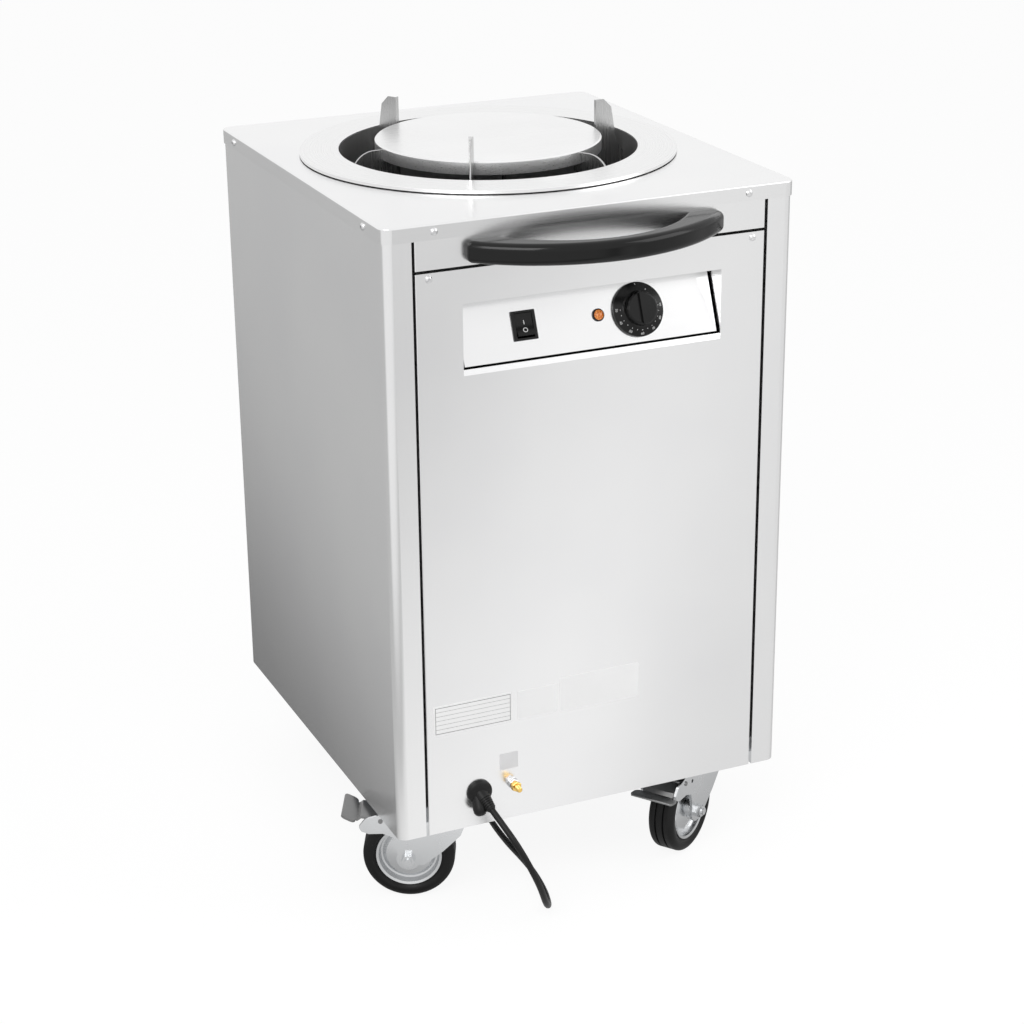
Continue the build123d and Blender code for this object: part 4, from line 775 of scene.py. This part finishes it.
def painted_reflection_ramp(where, bearing, stops):
    """The floor's painted reflection grey along a bearing in degrees, as stops of metres and brightness."""
    along = tree_nodes.new("ShaderNodeVectorMath")
    along.operation = "DOT_PRODUCT"
    along.inputs[1].default_value = (cos(radians(bearing)), sin(radians(bearing)), 0.0)
    links.new(where, along.inputs[0])
    spread = tree_nodes.new("ShaderNodeMapRange")
    spread.inputs["From Min"].default_value = stops[0][0]
    spread.inputs["From Max"].default_value = stops[-1][0]
    links.new(along.outputs["Value"], spread.inputs["Value"])
    ramp = tree_nodes.new("ShaderNodeValToRGB")
    ramp.color_ramp.interpolation = "EASE"
    points = ramp.color_ramp.elements
    reach = stops[-1][0] - stops[0][0]
    for place, grey in stops[1:-1]:
        points.new((place - stops[0][0]) / reach)
    for point, (place, grey) in zip(points, stops):
        point.color = (grey, grey, grey, 1.0)
    links.new(spread.outputs["Result"], ramp.inputs["Fac"])
    return ramp.outputs["Color"]


# painted reflection: beside the cabinet a mid grey that darkens towards it as painted shade, in front a
# grey that rises to white
painted_reflection_beside = painted_reflection_ramp(flank.outputs["Vector"], 9.0, [(-0.45, 0.55), (-0.2, 0.2), (0.1, 0.8)])
before = painted_reflection_ramp(place.outputs["Object"], 33.0,
                [(-1.3, 0.9), (-0.7, 0.5), (-0.5, 0.85), (-0.2, 1.0), (0.0, 0.8)])
forward = tree_nodes.new("ShaderNodeMapRange")
forward.inputs["From Min"].default_value = -0.05
forward.inputs["From Max"].default_value = -0.35
links.new(apart.outputs["Y"], forward.inputs["Value"])
painted_reflection_grey = tree_nodes.new("ShaderNodeMix")
painted_reflection_grey.data_type = "RGBA"
links.new(forward.outputs["Result"], painted_reflection_grey.inputs["Factor"])
links.new(painted_reflection_beside, painted_reflection_grey.inputs["A"])
links.new(before, painted_reflection_grey.inputs["B"])
# only mirrored rays see these greys: a painted reflection on the bare metal
painted_reflection = tree_nodes.new("ShaderNodeEmission")
links.new(painted_reflection_grey.outputs["Result"], painted_reflection.inputs["Color"])
with_painted_reflection = tree_nodes.new("ShaderNodeMixShader")
links.new(rays.outputs["Is Glossy Ray"], with_painted_reflection.inputs["Fac"])
links.new(with_white.outputs["Shader"], with_painted_reflection.inputs[1])
links.new(painted_reflection.outputs["Emission"], with_painted_reflection.inputs[2])
links.new(with_painted_reflection.outputs["Shader"], tree_nodes["Material Output"].inputs["Surface"])
studio_floor.data.materials.append(floor_white_and_painted_reflection)

world = bpy.data.worlds.new("studio")
bpy.context.scene.world = world
world.use_nodes = True
tree_nodes, links = world.node_tree.nodes, world.node_tree.links
light_background = tree_nodes["Background"]
light_background.inputs["Color"].default_value = (1.0, 1.0, 1.0, 1.0)
light_background.inputs["Strength"].default_value = 0.5
seen_background = tree_nodes.new("ShaderNodeBackground")
seen_background.inputs["Color"].default_value = (1.0, 1.0, 1.0, 1.0)
seen_background.inputs["Strength"].default_value = 1.0
rays = tree_nodes.new("ShaderNodeLightPath")
seen = tree_nodes.new("ShaderNodeMath")
seen.operation = "MAXIMUM"
links.new(rays.outputs["Is Camera Ray"], seen.inputs[0])
links.new(rays.outputs["Is Transmission Ray"], seen.inputs[1])
seen_too = tree_nodes.new("ShaderNodeMath")
seen_too.operation = "MAXIMUM"
links.new(seen.outputs["Value"], seen_too.inputs[0])
links.new(rays.outputs["Is Glossy Ray"], seen_too.inputs[1])
mix = tree_nodes.new("ShaderNodeMixShader")
links.new(seen_too.outputs["Value"], mix.inputs["Fac"])
links.new(light_background.outputs["Background"], mix.inputs[1])
links.new(seen_background.outputs["Background"], mix.inputs[2])
links.new(mix.outputs["Shader"], tree_nodes["World Output"].inputs["Surface"])

for name, spot, size, power in (
    ("key_lamp", (-1.6, -1.8, 2.4), 1.6, 32.0),
    ("fill_lamp", (1.9, -1.4, 1.8), 1.6, 14.0),
):
    bpy.ops.object.light_add(type="AREA", location=spot)
    lamp = bpy.context.object
    lamp.name = name
    lamp.data.size = size
    lamp.data.energy = power
    towards = Vector((0.0, 0.0, 0.45)) - Vector(spot)
    lamp.rotation_euler = towards.to_track_quat("-Z", "Y").to_euler()
